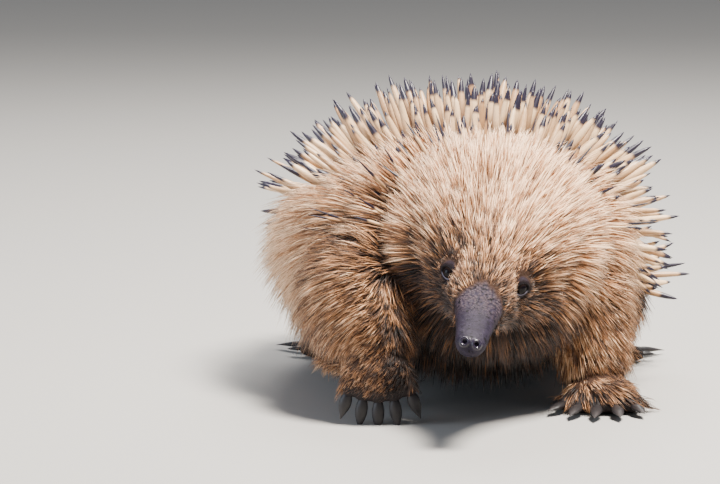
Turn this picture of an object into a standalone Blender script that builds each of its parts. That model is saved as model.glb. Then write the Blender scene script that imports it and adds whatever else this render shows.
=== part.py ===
"""An echidna walking, life size: head low, right forefoot just setting down.

Metres, +Z up. The animal faces -Y, so its left side is at +X. The origin is under the middle of its box,
on the floor that its soles stand on. The flesh is modelled whole, as lumps run together, and parted into
nodes with thin cuts. Spines and flat tapered locks grow from it, fused to the node that they root in, and
the flesh holds a core of dense underfur for part of the coat's depth.
"""

import math
import random

import bmesh
import bpy
from mathutils import Matrix, Vector
from mathutils.bvhtree import BVHTree

GAP = 0.0003

# A Boolean that leaves less than this share of the volume has failed and is made by the other solver
LEAST_SHARE = {"DIFFERENCE": 0.05, "INTERSECT": 0.05, "UNION": 0.99}

# How much of the coat's depth the core of dense underfur takes
CORE_SHARE = 0.25

# Grain of the fused flesh: voxel size, smoothing passes and the share of faces that is kept
VOXEL = 0.0050
SMOOTHING = 5
KEPT_FACES = 0.072

# Trunk: an egg lying along Y, bent so that the rump swings to the left, with a full back and a narrow belly
TRUNK_MIDDLE = Vector((0.002, 0.046, 0.090))
TRUNK_HALF_LENGTH = 0.118
TRUNK_HALF_WIDTH = 0.0885
TRUNK_RISE = 0.062
TRUNK_DROP = 0.061
TRUNK_FULLNESS = 0.80
BELLY_NARROWING = 0.30
TRUNK_BEND = 0.014
TRUNK_COAT = Vector((0.036, 0.024, 0.034))
BELLY_COAT = 0.009

# Lumps of shoulders, neck and nape: middle, radii, pitch in degrees and depth of coat
LUMPS = {
    "shoulders": ((0.006, -0.022, 0.092), (0.071, 0.052, 0.052), 8, 0.026),
    "neck": ((0.013, -0.070, 0.098), (0.049, 0.050, 0.042), 30, 0.018),
}

# Head: its frame stands between the eyes, with the beak along its own -Y
HEAD_AT = Vector((0.0064, -0.1330, 0.0835))
HEAD_PITCH = math.radians(20.5)
HEAD_ROLL = math.radians(13)
HEAD_YAW = math.radians(-8.5)
HEAD_COAT = 0.007

# Sections of the head from the root of the beak back: place along Y, half width, top, bottom, coat's share
HEAD_SECTIONS = (
    (-0.0310, 0.0132, 0.0102, -0.0124, 0.00),
    (-0.0240, 0.0146, 0.0120, -0.0134, 0.05),
    (-0.0150, 0.0174, 0.0153, -0.0148, 0.25),
    (-0.0060, 0.0208, 0.0200, -0.0165, 0.55),
    (0.0040, 0.0252, 0.0248, -0.0192, 0.85),
    (0.0150, 0.0294, 0.0290, -0.0220, 1.00),
    (0.0280, 0.0338, 0.0328, -0.0254, 1.15),
    (0.0420, 0.0382, 0.0360, -0.0290, 1.30),
    (0.0560, 0.0410, 0.0380, -0.0316, 1.40),
    (0.0660, 0.0380, 0.0350, -0.0290, 1.40),
)
HEAD_BACK = Vector((0, 0.0700, 0.0020))
HEAD_SIDES = 20
HEAD_SQUARENESS = 0.90

# Beak, along the head's own -Y: distance from the eyes' line, half width, half height and rise
BEAK_RINGS = (
    (0.0312, 0.0134, 0.0112, -0.0012),
    (0.0386, 0.0119, 0.0100, -0.0014),
    (0.0480, 0.0105, 0.0087, -0.0016),
    (0.0574, 0.0095, 0.0078, -0.0017),
    (0.0648, 0.0089, 0.0071, -0.0018),
    (0.0697, 0.0074, 0.0058, -0.0020),
    (0.0723, 0.0042, 0.0033, -0.0022),
)
BEAK_TIP = Vector((0, -0.0734, -0.0024))
BEAK_SIDES = 12
NOSTRIL_RADII = Vector((0.0016, 0.0023, 0.0024))
NOSTRIL_AT = Vector((0.0034, -0.0705, 0.0032))
MOUTH_RADII = Vector((0.0076, 0.0070, 0.0006))
MOUTH_AT = Vector((0.0, -0.0714, -0.0054))

# Left eye and ears, in the head's own frame: each eye lies where a ray against its look leaves the head
EYE_RADIUS = 0.0044
EYE_AT = Vector((0.0205, -0.0055, 0.0036))
EYE_RAY = Vector((0.0164, -0.0015, 0.0036))
EYE_LOOK = Vector((0.74, -0.64, 0.22))
EYE_SUNK = 0.0026
LID_RADII = (0.0066, 0.0044)
LID_DEPTH = 0.0030
EAR_AT = Vector((0.0, 0.0200, -0.0030))
EAR_ASIDE = 0.030
EAR_HALF_HEIGHT = 0.0080
EAR_HALF_WIDTH = 0.0042
EAR_DEPTH = 0.0036
EAR_PROUD = 0.0018
EAR_HOLLOW = Vector((0.0026, 0.0062, 0.0036))

# The face's hair lies away from the beak's root, and leaves this much bare round beak, eyes and ears
FACE_MIDDLE = Vector((0, -0.030, 0))
BEAK_BARE = 0.0170
EYE_BARE = 0.0105
EAR_BARE = 0.0095

# Limbs and tail, from the trunk out: a place and the flesh's radius at each joint, and the depth of coat
LIMBS = {
    "foreleg_right": (
        ((-0.036, -0.036, 0.082), 0.028),
        ((-0.062, -0.072, 0.064), 0.024),
        ((-0.054, -0.106, 0.044), 0.0165),
        ((-0.053, -0.116, 0.026), 0.0135),
    ),
    "foreleg_left": (
        ((0.044, -0.030, 0.078), 0.026),
        ((0.066, -0.046, 0.054), 0.0205),
        ((0.073, -0.062, 0.027), 0.0165),
        ((0.075, -0.068, 0.006), 0.0150),
    ),
    "hindleg_right": (
        ((-0.038, 0.098, 0.074), 0.033),
        ((-0.066, 0.092, 0.052), 0.026),
        ((-0.071, 0.104, 0.026), 0.0180),
        ((-0.072, 0.108, 0.006), 0.0155),
    ),
    "hindleg_left": (
        ((0.050, 0.090, 0.074), 0.033),
        ((0.080, 0.078, 0.052), 0.026),
        ((0.085, 0.086, 0.026), 0.0180),
        ((0.086, 0.088, 0.006), 0.0155),
    ),
    "tail": (
        ((0.014, 0.120, 0.086), 0.030),
        ((0.018, 0.146, 0.076), 0.026),
        ((0.021, 0.166, 0.062), 0.0175),
        ((0.023, 0.178, 0.050), 0.0100),
    ),
}
LIMB_COAT = {
    "foreleg_right": 0.008,
    "foreleg_left": 0.008,
    "hindleg_right": 0.009,
    "hindleg_left": 0.009,
    "tail": 0.012,
}

# Cuts that part the flesh: a point of the plane and the way it looks into the part in front of it
HEAD_CUT = (((0.013, -0.0990, 0.1000), (0.10, -0.88, -0.36)),)
NECK_CUT = (((0.010, -0.0600, 0.0900), (0.06, -0.92, -0.26)),)

# The floor that the soles stand on, as a cut that keeps what is under it
FLOOR = (((0, 0, 0), (0, 0, -1)),)

# Feet: the paw's middle and radii, the turn of the toes about Z from straight ahead, their fall from level,
# the plane where wrist or ankle meets the paw, each claw's length from the animal's right to its left, and
# each toe's splay
FEET = {
    "forefoot_right": dict(
        at=(-0.053, -0.1170, 0.0290), radii=(0.0200, 0.0110, 0.0130), heading=-4, slope=82,
        wrist=((-0.053, -0.115, 0.0300), (0.0, 0.30, 0.95)),
        claws=(0.0150, 0.0175, 0.0185, 0.0175, 0.0150), splay=(-16, -7, 0, 8, 22),
    ),
    "forefoot_left": dict(
        at=(0.076, -0.0740, 0.0095), radii=(0.0200, 0.0180, 0.0125), heading=-8, slope=0,
        wrist=((0.076, -0.068, 0.0150), (0.0, 0.20, 0.98)),
        claws=(0.0150, 0.0200, 0.0215, 0.0200, 0.0150), splay=(-26, -11, 0, 11, 26),
    ),
    "hindfoot_right": dict(
        at=(-0.075, 0.1110, 0.0095), radii=(0.0180, 0.0180, 0.0125), heading=-145, slope=0,
        wrist=((-0.072, 0.108, 0.0150), (0.0, 0.0, 1.0)),
        claws=(0.0100, 0.0130, 0.0210, 0.0290, 0.0100), splay=(-30, -14, 0, 14, 34),
    ),
    "hindfoot_left": dict(
        at=(0.087, 0.0910, 0.0095), radii=(0.0180, 0.0180, 0.0125), heading=145, slope=0,
        wrist=((0.086, 0.088, 0.0150), (0.0, 0.0, 1.0)),
        claws=(0.0100, 0.0290, 0.0210, 0.0130, 0.0100), splay=(-34, -14, 0, 14, 30),
    ),
}
TOE_RADIUS = 0.0056
TOE_SPREAD = 0.70
TOE_REACH = 0.0030
CLAW_WIDTH = 0.0072
CLAW_THICKNESS = 0.0038
CLAW_CURL = 0.10
CLAW_SIDES = 6
SHORT_CLAW = 0.0125
SHORT_CLAW_SHARE = 0.8

# Spines: smooth tapers that lean back from the skin's normal, set where the coat turns to spines
SPINE_SIDES = 3
SPINE_RADIUS = 0.0021
SPINE_LENGTH = 0.034
SPINE_SINK = 0.0050
SPINE_LEAN = 0.42
FLANK_SPINE_LEAN = 0.16
SPINE_SPACING = 0.0130
SPINE_FRONT = -0.034
SPINE_LINE_LEFT = 0.050
SPINE_LINE_RIGHT = 0.110
SPINE_LINE_FALL = 0.36
TAIL_SPINE_SPACING = 0.0120

# Locks: length, width, spacing of the roots, lift off the skin in degrees, droop and share of random change
LOCKS = {
    "head": dict(length=0.0175, width=0.0080, spacing=0.0112, lift=20, droop=0.00, vary=0.20, seed=11),
    "neck": dict(length=0.0340, width=0.0122, spacing=0.0136, lift=27, droop=0.05, vary=0.20, seed=12),
    "torso": dict(length=0.0390, width=0.0140, spacing=0.0160, lift=28, droop=0.12, vary=0.22, seed=13),
    "foreleg_right": dict(length=0.0290, width=0.0122, spacing=0.0142, lift=22, droop=0.12, vary=0.25, seed=14),
    "foreleg_left": dict(length=0.0220, width=0.0118, spacing=0.0142, lift=22, droop=0.10, vary=0.25, seed=15),
    "hindleg_right": dict(length=0.0260, width=0.0128, spacing=0.0168, lift=22, droop=0.10, vary=0.25, seed=16),
    "hindleg_left": dict(length=0.0260, width=0.0128, spacing=0.0168, lift=22, droop=0.10, vary=0.25, seed=17),
}
LOCK_SINK = 0.0030
LOCK_THICKNESS = 0.30
LOCK_TRIES = ((1.0, 0), (0.85, 14), (0.65, 26), (0.5, 38))
SPINE_TRIES = ((1.0,), (0.8,), (0.6,))
CLEARANCE = 0.0004
EDGE_MARGIN = 0.0035
BELLY_BARE = 0.046
FLOOR_CLEARANCE = 0.0012

# Draws of a root for each coat, and how near the node's own surface a root has to be
SCATTER_TRIES = 12000
ON_SKIN = 0.0001

COLOURS = {
    "coat": ((0.62, 0.44, 0.27, 1), 0.85),
    "skin": ((0.20, 0.15, 0.14, 1), 0.65),
    "beak": ((0.13, 0.115, 0.14, 1), 0.45),
    "claw": ((0.035, 0.030, 0.030, 1), 0.40),
    "eye": ((0.012, 0.009, 0.008, 1), 0.06),
}


def clear_scene():
    """Take away the objects that the file opened with."""
    for thing in list(bpy.data.objects):
        bpy.data.objects.remove(thing, do_unlink=True)


def new_collection(name):
    """A collection of that name in the scene."""
    made = bpy.data.collections.new(name)
    bpy.context.scene.collection.children.link(made)
    return made


def make_materials():
    """One Principled material for each finish."""
    made = {}
    for name, (colour, roughness) in COLOURS.items():
        material = bpy.data.materials.new(name)
        material.use_nodes = True
        shader = material.node_tree.nodes["Principled BSDF"]
        shader.inputs["Base Color"].default_value = colour
        shader.inputs["Roughness"].default_value = roughness
        made[name] = material
    return made


clear_scene()
ECHIDNA = new_collection("echidna")
CUTTERS = new_collection("cutters")
MATERIALS = make_materials()


def face_out(form):
    """Turn every face of a closed bmesh outwards."""
    bmesh.ops.recalc_face_normals(form, faces=form.faces)
    if form.calc_volume(signed=True) < 0:
        bmesh.ops.reverse_faces(form, faces=form.faces)


def node_of(form, name, finish):
    """The bmesh as a node of the model, with its faces outwards."""
    face_out(form)
    mesh = bpy.data.meshes.new(name)
    form.to_mesh(mesh)
    form.free()
    mesh.materials.append(MATERIALS[finish])
    made = bpy.data.objects.new(name, mesh)
    ECHIDNA.objects.link(made)
    return made


def cutter_of(form, name):
    """The bmesh as a cutter or a piece to be joined, which is no node of its own."""
    face_out(form)
    mesh = bpy.data.meshes.new(name)
    form.to_mesh(mesh)
    form.free()
    made = bpy.data.objects.new(name, mesh)
    CUTTERS.objects.link(made)
    made.hide_render = True
    made.display_type = "WIRE"
    return made


def discard(things):
    """Take objects that have done their work out of the file."""
    for thing in list(things):
        bpy.data.objects.remove(thing, do_unlink=True)


def bake_modifiers(obj):
    """Apply the object's modifiers to its mesh."""
    graph = bpy.context.evaluated_depsgraph_get()
    mesh = bpy.data.meshes.new_from_object(obj.evaluated_get(graph))
    obj.modifiers.clear()
    obj.data = mesh


def volume_of(mesh):
    """The volume inside the mesh, or none where an edge of it is open."""
    form = bmesh.new()
    form.from_mesh(mesh)
    closed = len(form.faces) > 0 and all(edge.is_manifold for edge in form.edges)
    volume = form.calc_volume(signed=True) if closed else None
    form.free()
    return volume


def combine(obj, other, operation):
    """One Boolean of the object with another object or a collection, applied."""
    before = obj.data
    least = volume_of(before) * LEAST_SHARE[operation]
    for solver in ("EXACT", "MANIFOLD"):
        obj.data = before
        modifier = obj.modifiers.new(operation.lower(), "BOOLEAN")
        modifier.operation = operation
        modifier.solver = solver
        if isinstance(other, bpy.types.Collection):
            modifier.operand_type = "COLLECTION"
            modifier.collection = other
        else:
            modifier.object = other
        bake_modifiers(obj)
        volume = volume_of(obj.data)
        if volume is not None and volume > least:
            return
    raise RuntimeError(f"{operation} on {obj.name} left no sound solid")


def cut_by(obj, *cutters):
    """Cut each cutter out of the object, keep its largest piece and drop the cutters."""
    for cutter in cutters:
        combine(obj, cutter, "DIFFERENCE")
    keep_largest(obj)
    discard(cutters)


def unite(obj, pieces, name):
    """Join the pieces to the object with one union on their collection."""
    group = new_collection(name + "_pieces")
    for piece in pieces:
        CUTTERS.objects.unlink(piece)
        group.objects.link(piece)
    combine(obj, group, "UNION")
    discard(group.objects)
    bpy.data.collections.remove(group)
    keep_largest(obj)


def surfaces_of(form):
    """The faces of each closed surface of the bmesh."""
    left = set(form.faces)
    groups = []
    while left:
        front = [left.pop()]
        group = list(front)
        while front:
            for edge in front.pop().edges:
                for face in edge.link_faces:
                    if face in left:
                        left.discard(face)
                        group.append(face)
                        front.append(face)
        groups.append(group)
    return groups


def held_volume(faces):
    """The volume that faces looking outwards hold."""
    volume = 0.0
    for face in faces:
        corners = [corner.co for corner in face.verts]
        for second, third in zip(corners[1:], corners[2:]):
            volume += corners[0].dot(second.cross(third)) / 6
    return volume


def keep_largest(obj):
    """Drop every closed surface of the mesh but the one that holds the most."""
    form = bmesh.new()
    form.from_mesh(obj.data)
    groups = sorted(surfaces_of(form), key=held_volume, reverse=True)
    for group in groups[1:]:
        bmesh.ops.delete(form, geom=group, context="FACES")
    form.to_mesh(obj.data)
    form.free()


def tree_of(obj):
    """The object's faces, ready for rays and for tests of crossing."""
    form = bmesh.new()
    form.from_mesh(obj.data)
    tree = BVHTree.FromBMesh(form)
    form.free()
    return tree


def shaped_ball(around, along, place):
    """A sphere's mesh with every corner put where place says for its unit direction."""
    form = bmesh.new()
    bmesh.ops.create_uvsphere(form, u_segments=around, v_segments=along, radius=1.0)
    for corner in form.verts:
        corner.co = place(corner.co.normalized())
    return form


def ellipsoid(middle, radii, turn=None, around=16, along=10):
    """A ball of three radii, turned about its middle."""
    turn = turn or Matrix.Identity(3)
    return shaped_ball(around, along, lambda way: middle + turn @ (Matrix.Diagonal(radii) @ way))


def pointing(parts):
    """A unit vector of those parts."""
    return Vector(parts).normalized()


def cell(planes, grow=0.0, size=0.7):
    """The space on the inner side of every plane, moved out by grow, as a closed block."""
    form = bmesh.new()
    bmesh.ops.create_cube(form, size=size)
    for point, inward in planes:
        inward = Vector(inward).normalized()
        geometry = form.verts[:] + form.edges[:] + form.faces[:]
        bmesh.ops.bisect_plane(
            form, geom=geometry, plane_co=Vector(point) - inward * grow, plane_no=inward, clear_inner=True
        )
        rim = [edge for edge in form.edges if edge.is_boundary]
        if rim:
            bmesh.ops.holes_fill(form, edges=rim, sides=0)
    return form


def smooth_path(points, share):
    """A point on the smooth curve through three or more points, at a share from 0 to 1."""
    spans = len(points) - 1
    place = min(max(share, 0.0), 1.0) * spans
    step = min(int(place), spans - 1)
    t = place - step
    before = points[max(step - 1, 0)]
    start, end = points[step], points[step + 1]
    after = points[min(step + 2, spans)]
    slope_a, slope_b = (end - before) * 0.5, (after - start) * 0.5
    return (
        start * (2 * t**3 - 3 * t**2 + 1)
        + slope_a * (t**3 - 2 * t**2 + t)
        + end * (3 * t**2 - 2 * t**3)
        + slope_b * (t**3 - t**2)
    )


def limb(joints, coat, around=16, along=12):
    """A rounded limb swept through its joints, thick as the flesh and its coat at each."""
    centres = [Vector(place) for place, _ in joints]
    radii = [Vector((radius + coat, 0, 0)) for _, radius in joints]

    def place(way):
        share = (1 - way.z) / 2
        centre = smooth_path(centres, share)
        ahead = smooth_path(centres, min(share + 0.02, 1.0)) - smooth_path(centres, max(share - 0.02, 0.0))
        ahead.normalize()
        across = Vector((1, 0, 0)) - ahead * ahead.x
        across.normalize()
        ring = max(1 - way.z**2, 0.0) ** 0.35
        side = across * way.x + ahead.cross(across) * way.y
        radius = smooth_path(radii, share).x
        return centre + side.normalized() * radius * ring - ahead * way.z * radius * 0.4

    return shaped_ball(around, along, place)


def trunk_place(way, coat):
    """The trunk's surface in that unit direction, whose Z runs along the body."""
    ring = max(1 - way.z**2, 0.0) ** 0.5
    across, up = (way.x / ring, way.y / ring) if ring > 1e-6 else (0.0, 0.0)
    full = ring**TRUNK_FULLNESS
    y = TRUNK_MIDDLE.y + way.z * (TRUNK_HALF_LENGTH + coat * TRUNK_COAT.y)
    swing = TRUNK_BEND * way.z * abs(way.z)
    narrow = 1 - BELLY_NARROWING * max(-up, 0.0) ** 1.5
    x = TRUNK_MIDDLE.x + swing + across * full * narrow * (TRUNK_HALF_WIDTH + coat * TRUNK_COAT.x)
    reach = TRUNK_RISE + coat * TRUNK_COAT.z if up > 0 else TRUNK_DROP + coat * BELLY_COAT
    return Vector((x, y, TRUNK_MIDDLE.z + up * full * reach))


def head_frame():
    """From the head's own frame, with the beak along -Y and the eyes' line across, to the body's."""
    yaw = Matrix.Rotation(HEAD_YAW, 4, "Z")
    pitch = Matrix.Rotation(HEAD_PITCH, 4, "X")
    roll = Matrix.Rotation(HEAD_ROLL, 4, "Y")
    return Matrix.Translation(HEAD_AT) @ yaw @ pitch @ roll


HEAD = head_frame()


def rounded(angle, half_width, top, bottom):
    """A corner of a section that is an oval above and another below, slightly squared."""
    across = math.copysign(abs(math.cos(angle)) ** HEAD_SQUARENESS, math.cos(angle))
    up = math.copysign(abs(math.sin(angle)) ** HEAD_SQUARENESS, math.sin(angle))
    return across * half_width, up * (top if up > 0 else -bottom)


def loft(rings, sides, ends=(None, None)):
    """A closed loft through unlike rings, closed flat, or on to an end point where one is given."""
    form = bmesh.new()
    loops = [[form.verts.new(corner) for corner in ring] for ring in rings]
    for lower, upper in zip(loops, loops[1:]):
        for i in range(sides):
            j = (i + 1) % sides
            form.faces.new((lower[i], lower[j], upper[j], upper[i]))
    for loop, end in zip((loops[0], loops[-1]), ends):
        if end is None:
            form.faces.new(loop)
            continue
        point = form.verts.new(end)
        for i in range(sides):
            form.faces.new((loop[i], loop[(i + 1) % sides], point))
    return form


def head_form(coat):
    """The head: a broad furred dome behind, drawn out to the root of the beak in front."""
    rings = []
    for y, half_width, top, bottom, share in HEAD_SECTIONS:
        depth = coat * HEAD_COAT * share
        corners = []
        for i in range(HEAD_SIDES):
            across, up = rounded(math.tau * i / HEAD_SIDES, half_width + depth, top + depth, bottom - depth)
            corners.append(HEAD @ Vector((across, y, up)))
        rings.append(corners)
    return loft(rings, HEAD_SIDES, (None, HEAD @ HEAD_BACK))


def fused_trunk():
    """Trunk, shoulders, neck and head run together into one smooth skin."""
    lumps = [shaped_ball(36, 24, lambda way: trunk_place(way, CORE_SHARE))]
    for middle, radii, pitch, coat in LUMPS.values():
        turn = Matrix.Rotation(math.radians(pitch), 3, "X")
        full = Vector(radii) + Vector((1, 1, 1)) * coat * CORE_SHARE
        lumps.append(ellipsoid(Vector(middle), full, turn, 28, 18))
    lumps.append(head_form(CORE_SHARE))
    whole = bmesh.new()
    for lump in lumps:
        face_out(lump)
        mesh = bpy.data.meshes.new("lump")
        lump.to_mesh(mesh)
        lump.free()
        whole.from_mesh(mesh)
        bpy.data.meshes.remove(mesh)
    trunk = cutter_of(whole, "trunk")
    remesh = trunk.modifiers.new("run_together", "REMESH")
    remesh.mode = "VOXEL"
    remesh.voxel_size = VOXEL
    smooth = trunk.modifiers.new("smooth", "SMOOTH")
    smooth.factor = 0.5
    smooth.iterations = SMOOTHING
    thin = trunk.modifiers.new("thin", "DECIMATE")
    thin.ratio = KEPT_FACES
    bake_modifiers(trunk)
    return trunk


def swollen(obj, amount):
    """A copy of the object moved out along its normals, for cutting its neighbours clear of it."""
    form = bmesh.new()
    form.from_mesh(obj.data)
    form.normal_update()
    shifts = [corner.normal * amount * min(corner.calc_shell_factor(), 2.0) for corner in form.verts]
    for corner, shift in zip(form.verts, shifts):
        corner.co += shift
    return cutter_of(form, obj.name + "_swollen")


def part_of(trunk, name, planes, cleared=()):
    """The trunk's flesh inside the planes and clear of the parts in front of other planes."""
    part = bpy.data.objects.new(name, trunk.data.copy())
    ECHIDNA.objects.link(part)
    part.data.materials.clear()
    part.data.materials.append(MATERIALS["coat"])
    if planes:
        block = cutter_of(cell(planes), name + "_cell")
        combine(part, block, "INTERSECT")
        discard([block])
    cut_by(part, *[cutter_of(cell(other, GAP), name + "_clear") for other in cleared])
    return part


def make_flesh():
    """Every node of flesh but the feet, and the uncut skin that each one's coat is rooted on."""
    trunk = fused_trunk()
    head = node_of(head_form(CORE_SHARE), "head", "coat")
    skins = {"head": head.data.copy(), "neck": trunk.data, "torso": trunk.data}
    block = cutter_of(cell(HEAD_CUT), "head_cell")
    combine(head, block, "INTERSECT")
    discard([block])
    nodes = {
        "head": head,
        "neck": part_of(trunk, "neck", NECK_CUT, (HEAD_CUT,)),
        "torso": part_of(trunk, "torso", (), (NECK_CUT,)),
    }
    for name, joints in LIMBS.items():
        nodes[name] = node_of(limb(joints, LIMB_COAT[name] * CORE_SHARE), name, "coat")
        skins[name] = nodes[name].data.copy()
        cut_by(nodes[name], swollen(trunk, GAP), swollen(head, GAP))
        foot = FEET.get(name.replace("leg", "foot"))
        if foot:
            point, upward = foot["wrist"]
            cut_by(nodes[name], cutter_of(cell(((point, tuple(-u for u in upward)),), GAP), name + "_wrist"))
    discard([trunk])
    return nodes, skins


def oval(centre, across, up, half_width, half_height, sides):
    """The corners of an oval ring."""
    turns = [math.tau * i / sides for i in range(sides)]
    return [centre + across * half_width * math.cos(a) + up * half_height * math.sin(a) for a in turns]


def make_beak():
    """The beak: a tapering tube to a blunt tip, with two nostrils on it and a small mouth under them."""
    turn = HEAD.to_3x3()
    across, up = turn @ Vector((1, 0, 0)), turn @ Vector((0, 0, 1))
    rings = [
        oval(HEAD @ Vector((0, -ahead, rise)), across, up, half_width, half_height, BEAK_SIDES)
        for ahead, half_width, half_height, rise in BEAK_RINGS
    ]
    beak = node_of(loft(rings, BEAK_SIDES, (None, HEAD @ BEAK_TIP)), "beak", "beak")
    cutters = [cutter_of(ellipsoid(HEAD @ MOUTH_AT, MOUTH_RADII, turn, 12, 4), "mouth")]
    for side in (-1, 1):
        at = HEAD @ Vector((NOSTRIL_AT.x * side, NOSTRIL_AT.y, NOSTRIL_AT.z))
        cutters.append(cutter_of(ellipsoid(at, NOSTRIL_RADII, turn, 8, 6), "nostril"))
    cut_by(beak, *cutters)
    return beak


def on_head(head, own, look):
    """Where the ray that looks along the given way leaves the head, from a place in the head's frame."""
    look = (HEAD.to_3x3() @ look).normalized()
    place, _, _, _ = tree_of(head).ray_cast(HEAD @ own + look * 0.08, -look)
    return place, look


def make_eye(side, head):
    """The eyeball sunk in its socket, the ring of lids round it, and the socket to cut."""
    mirror = Matrix.Diagonal((side, 1, 1))
    place, look = on_head(head, mirror @ EYE_RAY, mirror @ EYE_LOOK)
    centre = place - look * EYE_SUNK
    facing = look.to_track_quat("Z", "Y").to_matrix()
    radii = Vector((EYE_RADIUS, EYE_RADIUS, EYE_RADIUS))
    name = "eye_left" if side > 0 else "eye_right"
    eye = node_of(ellipsoid(centre, radii, facing, 10, 7), name, "eye")
    socket = cutter_of(ellipsoid(centre, radii + Vector((GAP, GAP, GAP)), facing, 10, 7), name + "_socket")
    lid = bmesh.new()
    bmesh.ops.create_cone(
        lid, segments=10, radius1=LID_RADII[0], radius2=LID_RADII[1], depth=LID_DEPTH, cap_ends=True
    )
    lid.transform(Matrix.Translation(centre + look * EYE_SUNK) @ facing.to_4x4())
    return eye, cutter_of(lid, name + "_lid"), socket


def ear_plug(place, frame, grow, rise, depth):
    """An upright oval plug standing out of the head by rise and into it by depth."""
    form = bmesh.new()
    bmesh.ops.create_cone(form, segments=10, radius1=1, radius2=1, depth=1, cap_ends=True)
    size = Matrix.Diagonal((EAR_HALF_WIDTH + grow, EAR_HALF_HEIGHT + grow, rise + depth, 1))
    look = frame.to_3x3() @ Vector((0, 0, 1))
    form.transform(Matrix.Translation(place + look * (rise - depth) / 2) @ frame @ size)
    return form


def make_ear(side, head):
    """The ear: an upright oval cup of skin in a seat of its own size behind the eye."""
    place, look = on_head(head, EAR_AT, Vector((side, 0.04, 0.0)))
    back = look.cross(HEAD.to_3x3() @ Vector((0, 0, 1))).normalized()
    up = back.cross(look).normalized()
    frame = Matrix((back, -up, look)).transposed().to_4x4()
    name = "ear_left" if side > 0 else "ear_right"
    ear = node_of(ear_plug(place, frame, 0.0, EAR_PROUD, EAR_DEPTH - GAP), name, "skin")
    seat = cutter_of(ear_plug(place, frame, GAP, 0.01, EAR_DEPTH), name + "_seat")
    cut_by(ear, cutter_of(ellipsoid(place + look * EAR_PROUD, EAR_HOLLOW, frame.to_3x3(), 10, 6), name + "_cup"))
    return ear, seat


def make_face(nodes):
    """Beak, eyes with their lids, and ears."""
    head = nodes["head"]
    nodes["beak"] = make_beak()
    lids, sockets = [], []
    for side in (-1, 1):
        eye, lid, socket = make_eye(side, head)
        ear, seat = make_ear(side, head)
        nodes[eye.name] = eye
        nodes[ear.name] = ear
        lids.append(lid)
        sockets += [socket, seat]
    unite(head, lids, "lids")
    cut_by(head, *sockets)


def claw_form(start, way, side, length, thin):
    """A flat claw that leaves start along way and curls a little towards its under side."""
    down = side.cross(way).normalized()
    rings = []
    for share, wide, thick in ((0.0, 0.90, 0.95), (0.40, 1.0, 0.92), (0.78, 0.78, 0.62)):
        centre = start + way * length * share + down * CLAW_CURL * length * share**2
        half_width, half_height = CLAW_WIDTH / 2 * wide * thin, CLAW_THICKNESS / 2 * thick * thin
        rings.append(oval(centre, side, down, half_width, half_height, CLAW_SIDES))
    return loft(rings, CLAW_SIDES, (None, start + way * length + down * CLAW_CURL * length))


def toe_lines(spec):
    """For each toe: its root, the way it points, its side, where its claw starts and how long that is."""
    at, radii = Vector(spec["at"]), Vector(spec["radii"])
    heading, slope = math.radians(spec["heading"]), math.radians(spec["slope"])
    ahead = Vector((math.sin(heading), -math.cos(heading), 0))
    across = Vector((math.cos(heading), math.sin(heading), 0))
    forward = (ahead * math.cos(slope) - Vector((0, 0, math.sin(slope)))).normalized()
    above = forward.cross(across) if spec["slope"] else Vector((0, 0, 1))
    reach = radii.z if spec["slope"] else radii.y
    lines = []
    for number, (length, splay) in enumerate(zip(spec["claws"], spec["splay"])):
        turn = Matrix.Rotation(math.radians(splay), 3, above)
        way, side = turn @ forward, turn @ across
        aside = (number - 2) / 2
        root = at + across * radii.x * TOE_SPREAD * aside
        if not spec["slope"]:
            root.z = TOE_RADIUS * 0.94
        end = root + way * (reach * (1 - 0.28 * aside**2) + TOE_REACH)
        lines.append((root, way, side, end, length))
    return lines


def make_foot(name, spec):
    """A foot with its five toes as one node, and its five claws, each a node of its own."""
    at, radii = Vector(spec["at"]), Vector(spec["radii"])
    turn = Matrix.Rotation(math.radians(spec["heading"]), 3, "Z")
    paw = node_of(ellipsoid(at, radii, turn, 14, 7), name, "skin")
    toes, claws = [], []
    for number, (root, way, side, end, length) in enumerate(toe_lines(spec), 1):
        up = side.cross(way)
        rings = [
            oval(root, side, up, TOE_RADIUS, TOE_RADIUS, CLAW_SIDES),
            oval(end, side, up, TOE_RADIUS * 0.86, TOE_RADIUS * 0.72, CLAW_SIDES),
        ]
        toes.append(cutter_of(loft(rings, CLAW_SIDES), f"{name}_toe_{number}"))
        thin = 1.0 if length > SHORT_CLAW else SHORT_CLAW_SHARE
        claws.append(node_of(claw_form(end + way * GAP, way, side, length, thin), f"{name}_claw_{number}", "claw"))
    unite(paw, toes, name)
    cut_by(paw, cutter_of(cell((spec["wrist"],)), name + "_wrist"), cutter_of(cell(FLOOR), name + "_floor"))
    for claw in claws:
        cut_by(claw, cutter_of(cell(FLOOR), claw.name + "_floor"))
    return [paw, *claws]


def fans(skin):
    """The skin's triangles by their corners' numbers, in one set order however its faces are listed."""
    found = []
    for face in skin.polygons:
        ring = list(face.vertices)
        first = ring.index(min(ring))
        ring = ring[first:] + ring[:first]
        found += [(ring[0], second, third) for second, third in zip(ring[1:], ring[2:])]
    return sorted(found)


def scatter(skin, spacing, seed):
    """Places and normals over an uncut skin, no closer than the spacing.

    They are drawn before the skin is cut, because a Boolean may list the faces that it leaves in another
    order on another run.
    """
    triangles = [[skin.vertices[number].co for number in fan] for fan in fans(skin)]
    sweeps = [(b - a).cross(c - a) for a, b, c in triangles]
    draw = random.Random(seed)
    found = []
    for number in draw.choices(range(len(triangles)), weights=[way.length for way in sweeps], k=SCATTER_TRIES):
        first, second = sorted((draw.random(), draw.random()))
        a, b, c = triangles[number]
        place = a * first + b * (second - first) + c * (1 - second)
        if all((place - other).length > spacing for other, _ in found):
            found.append((place, sweeps[number].normalized()))
    return found


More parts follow.
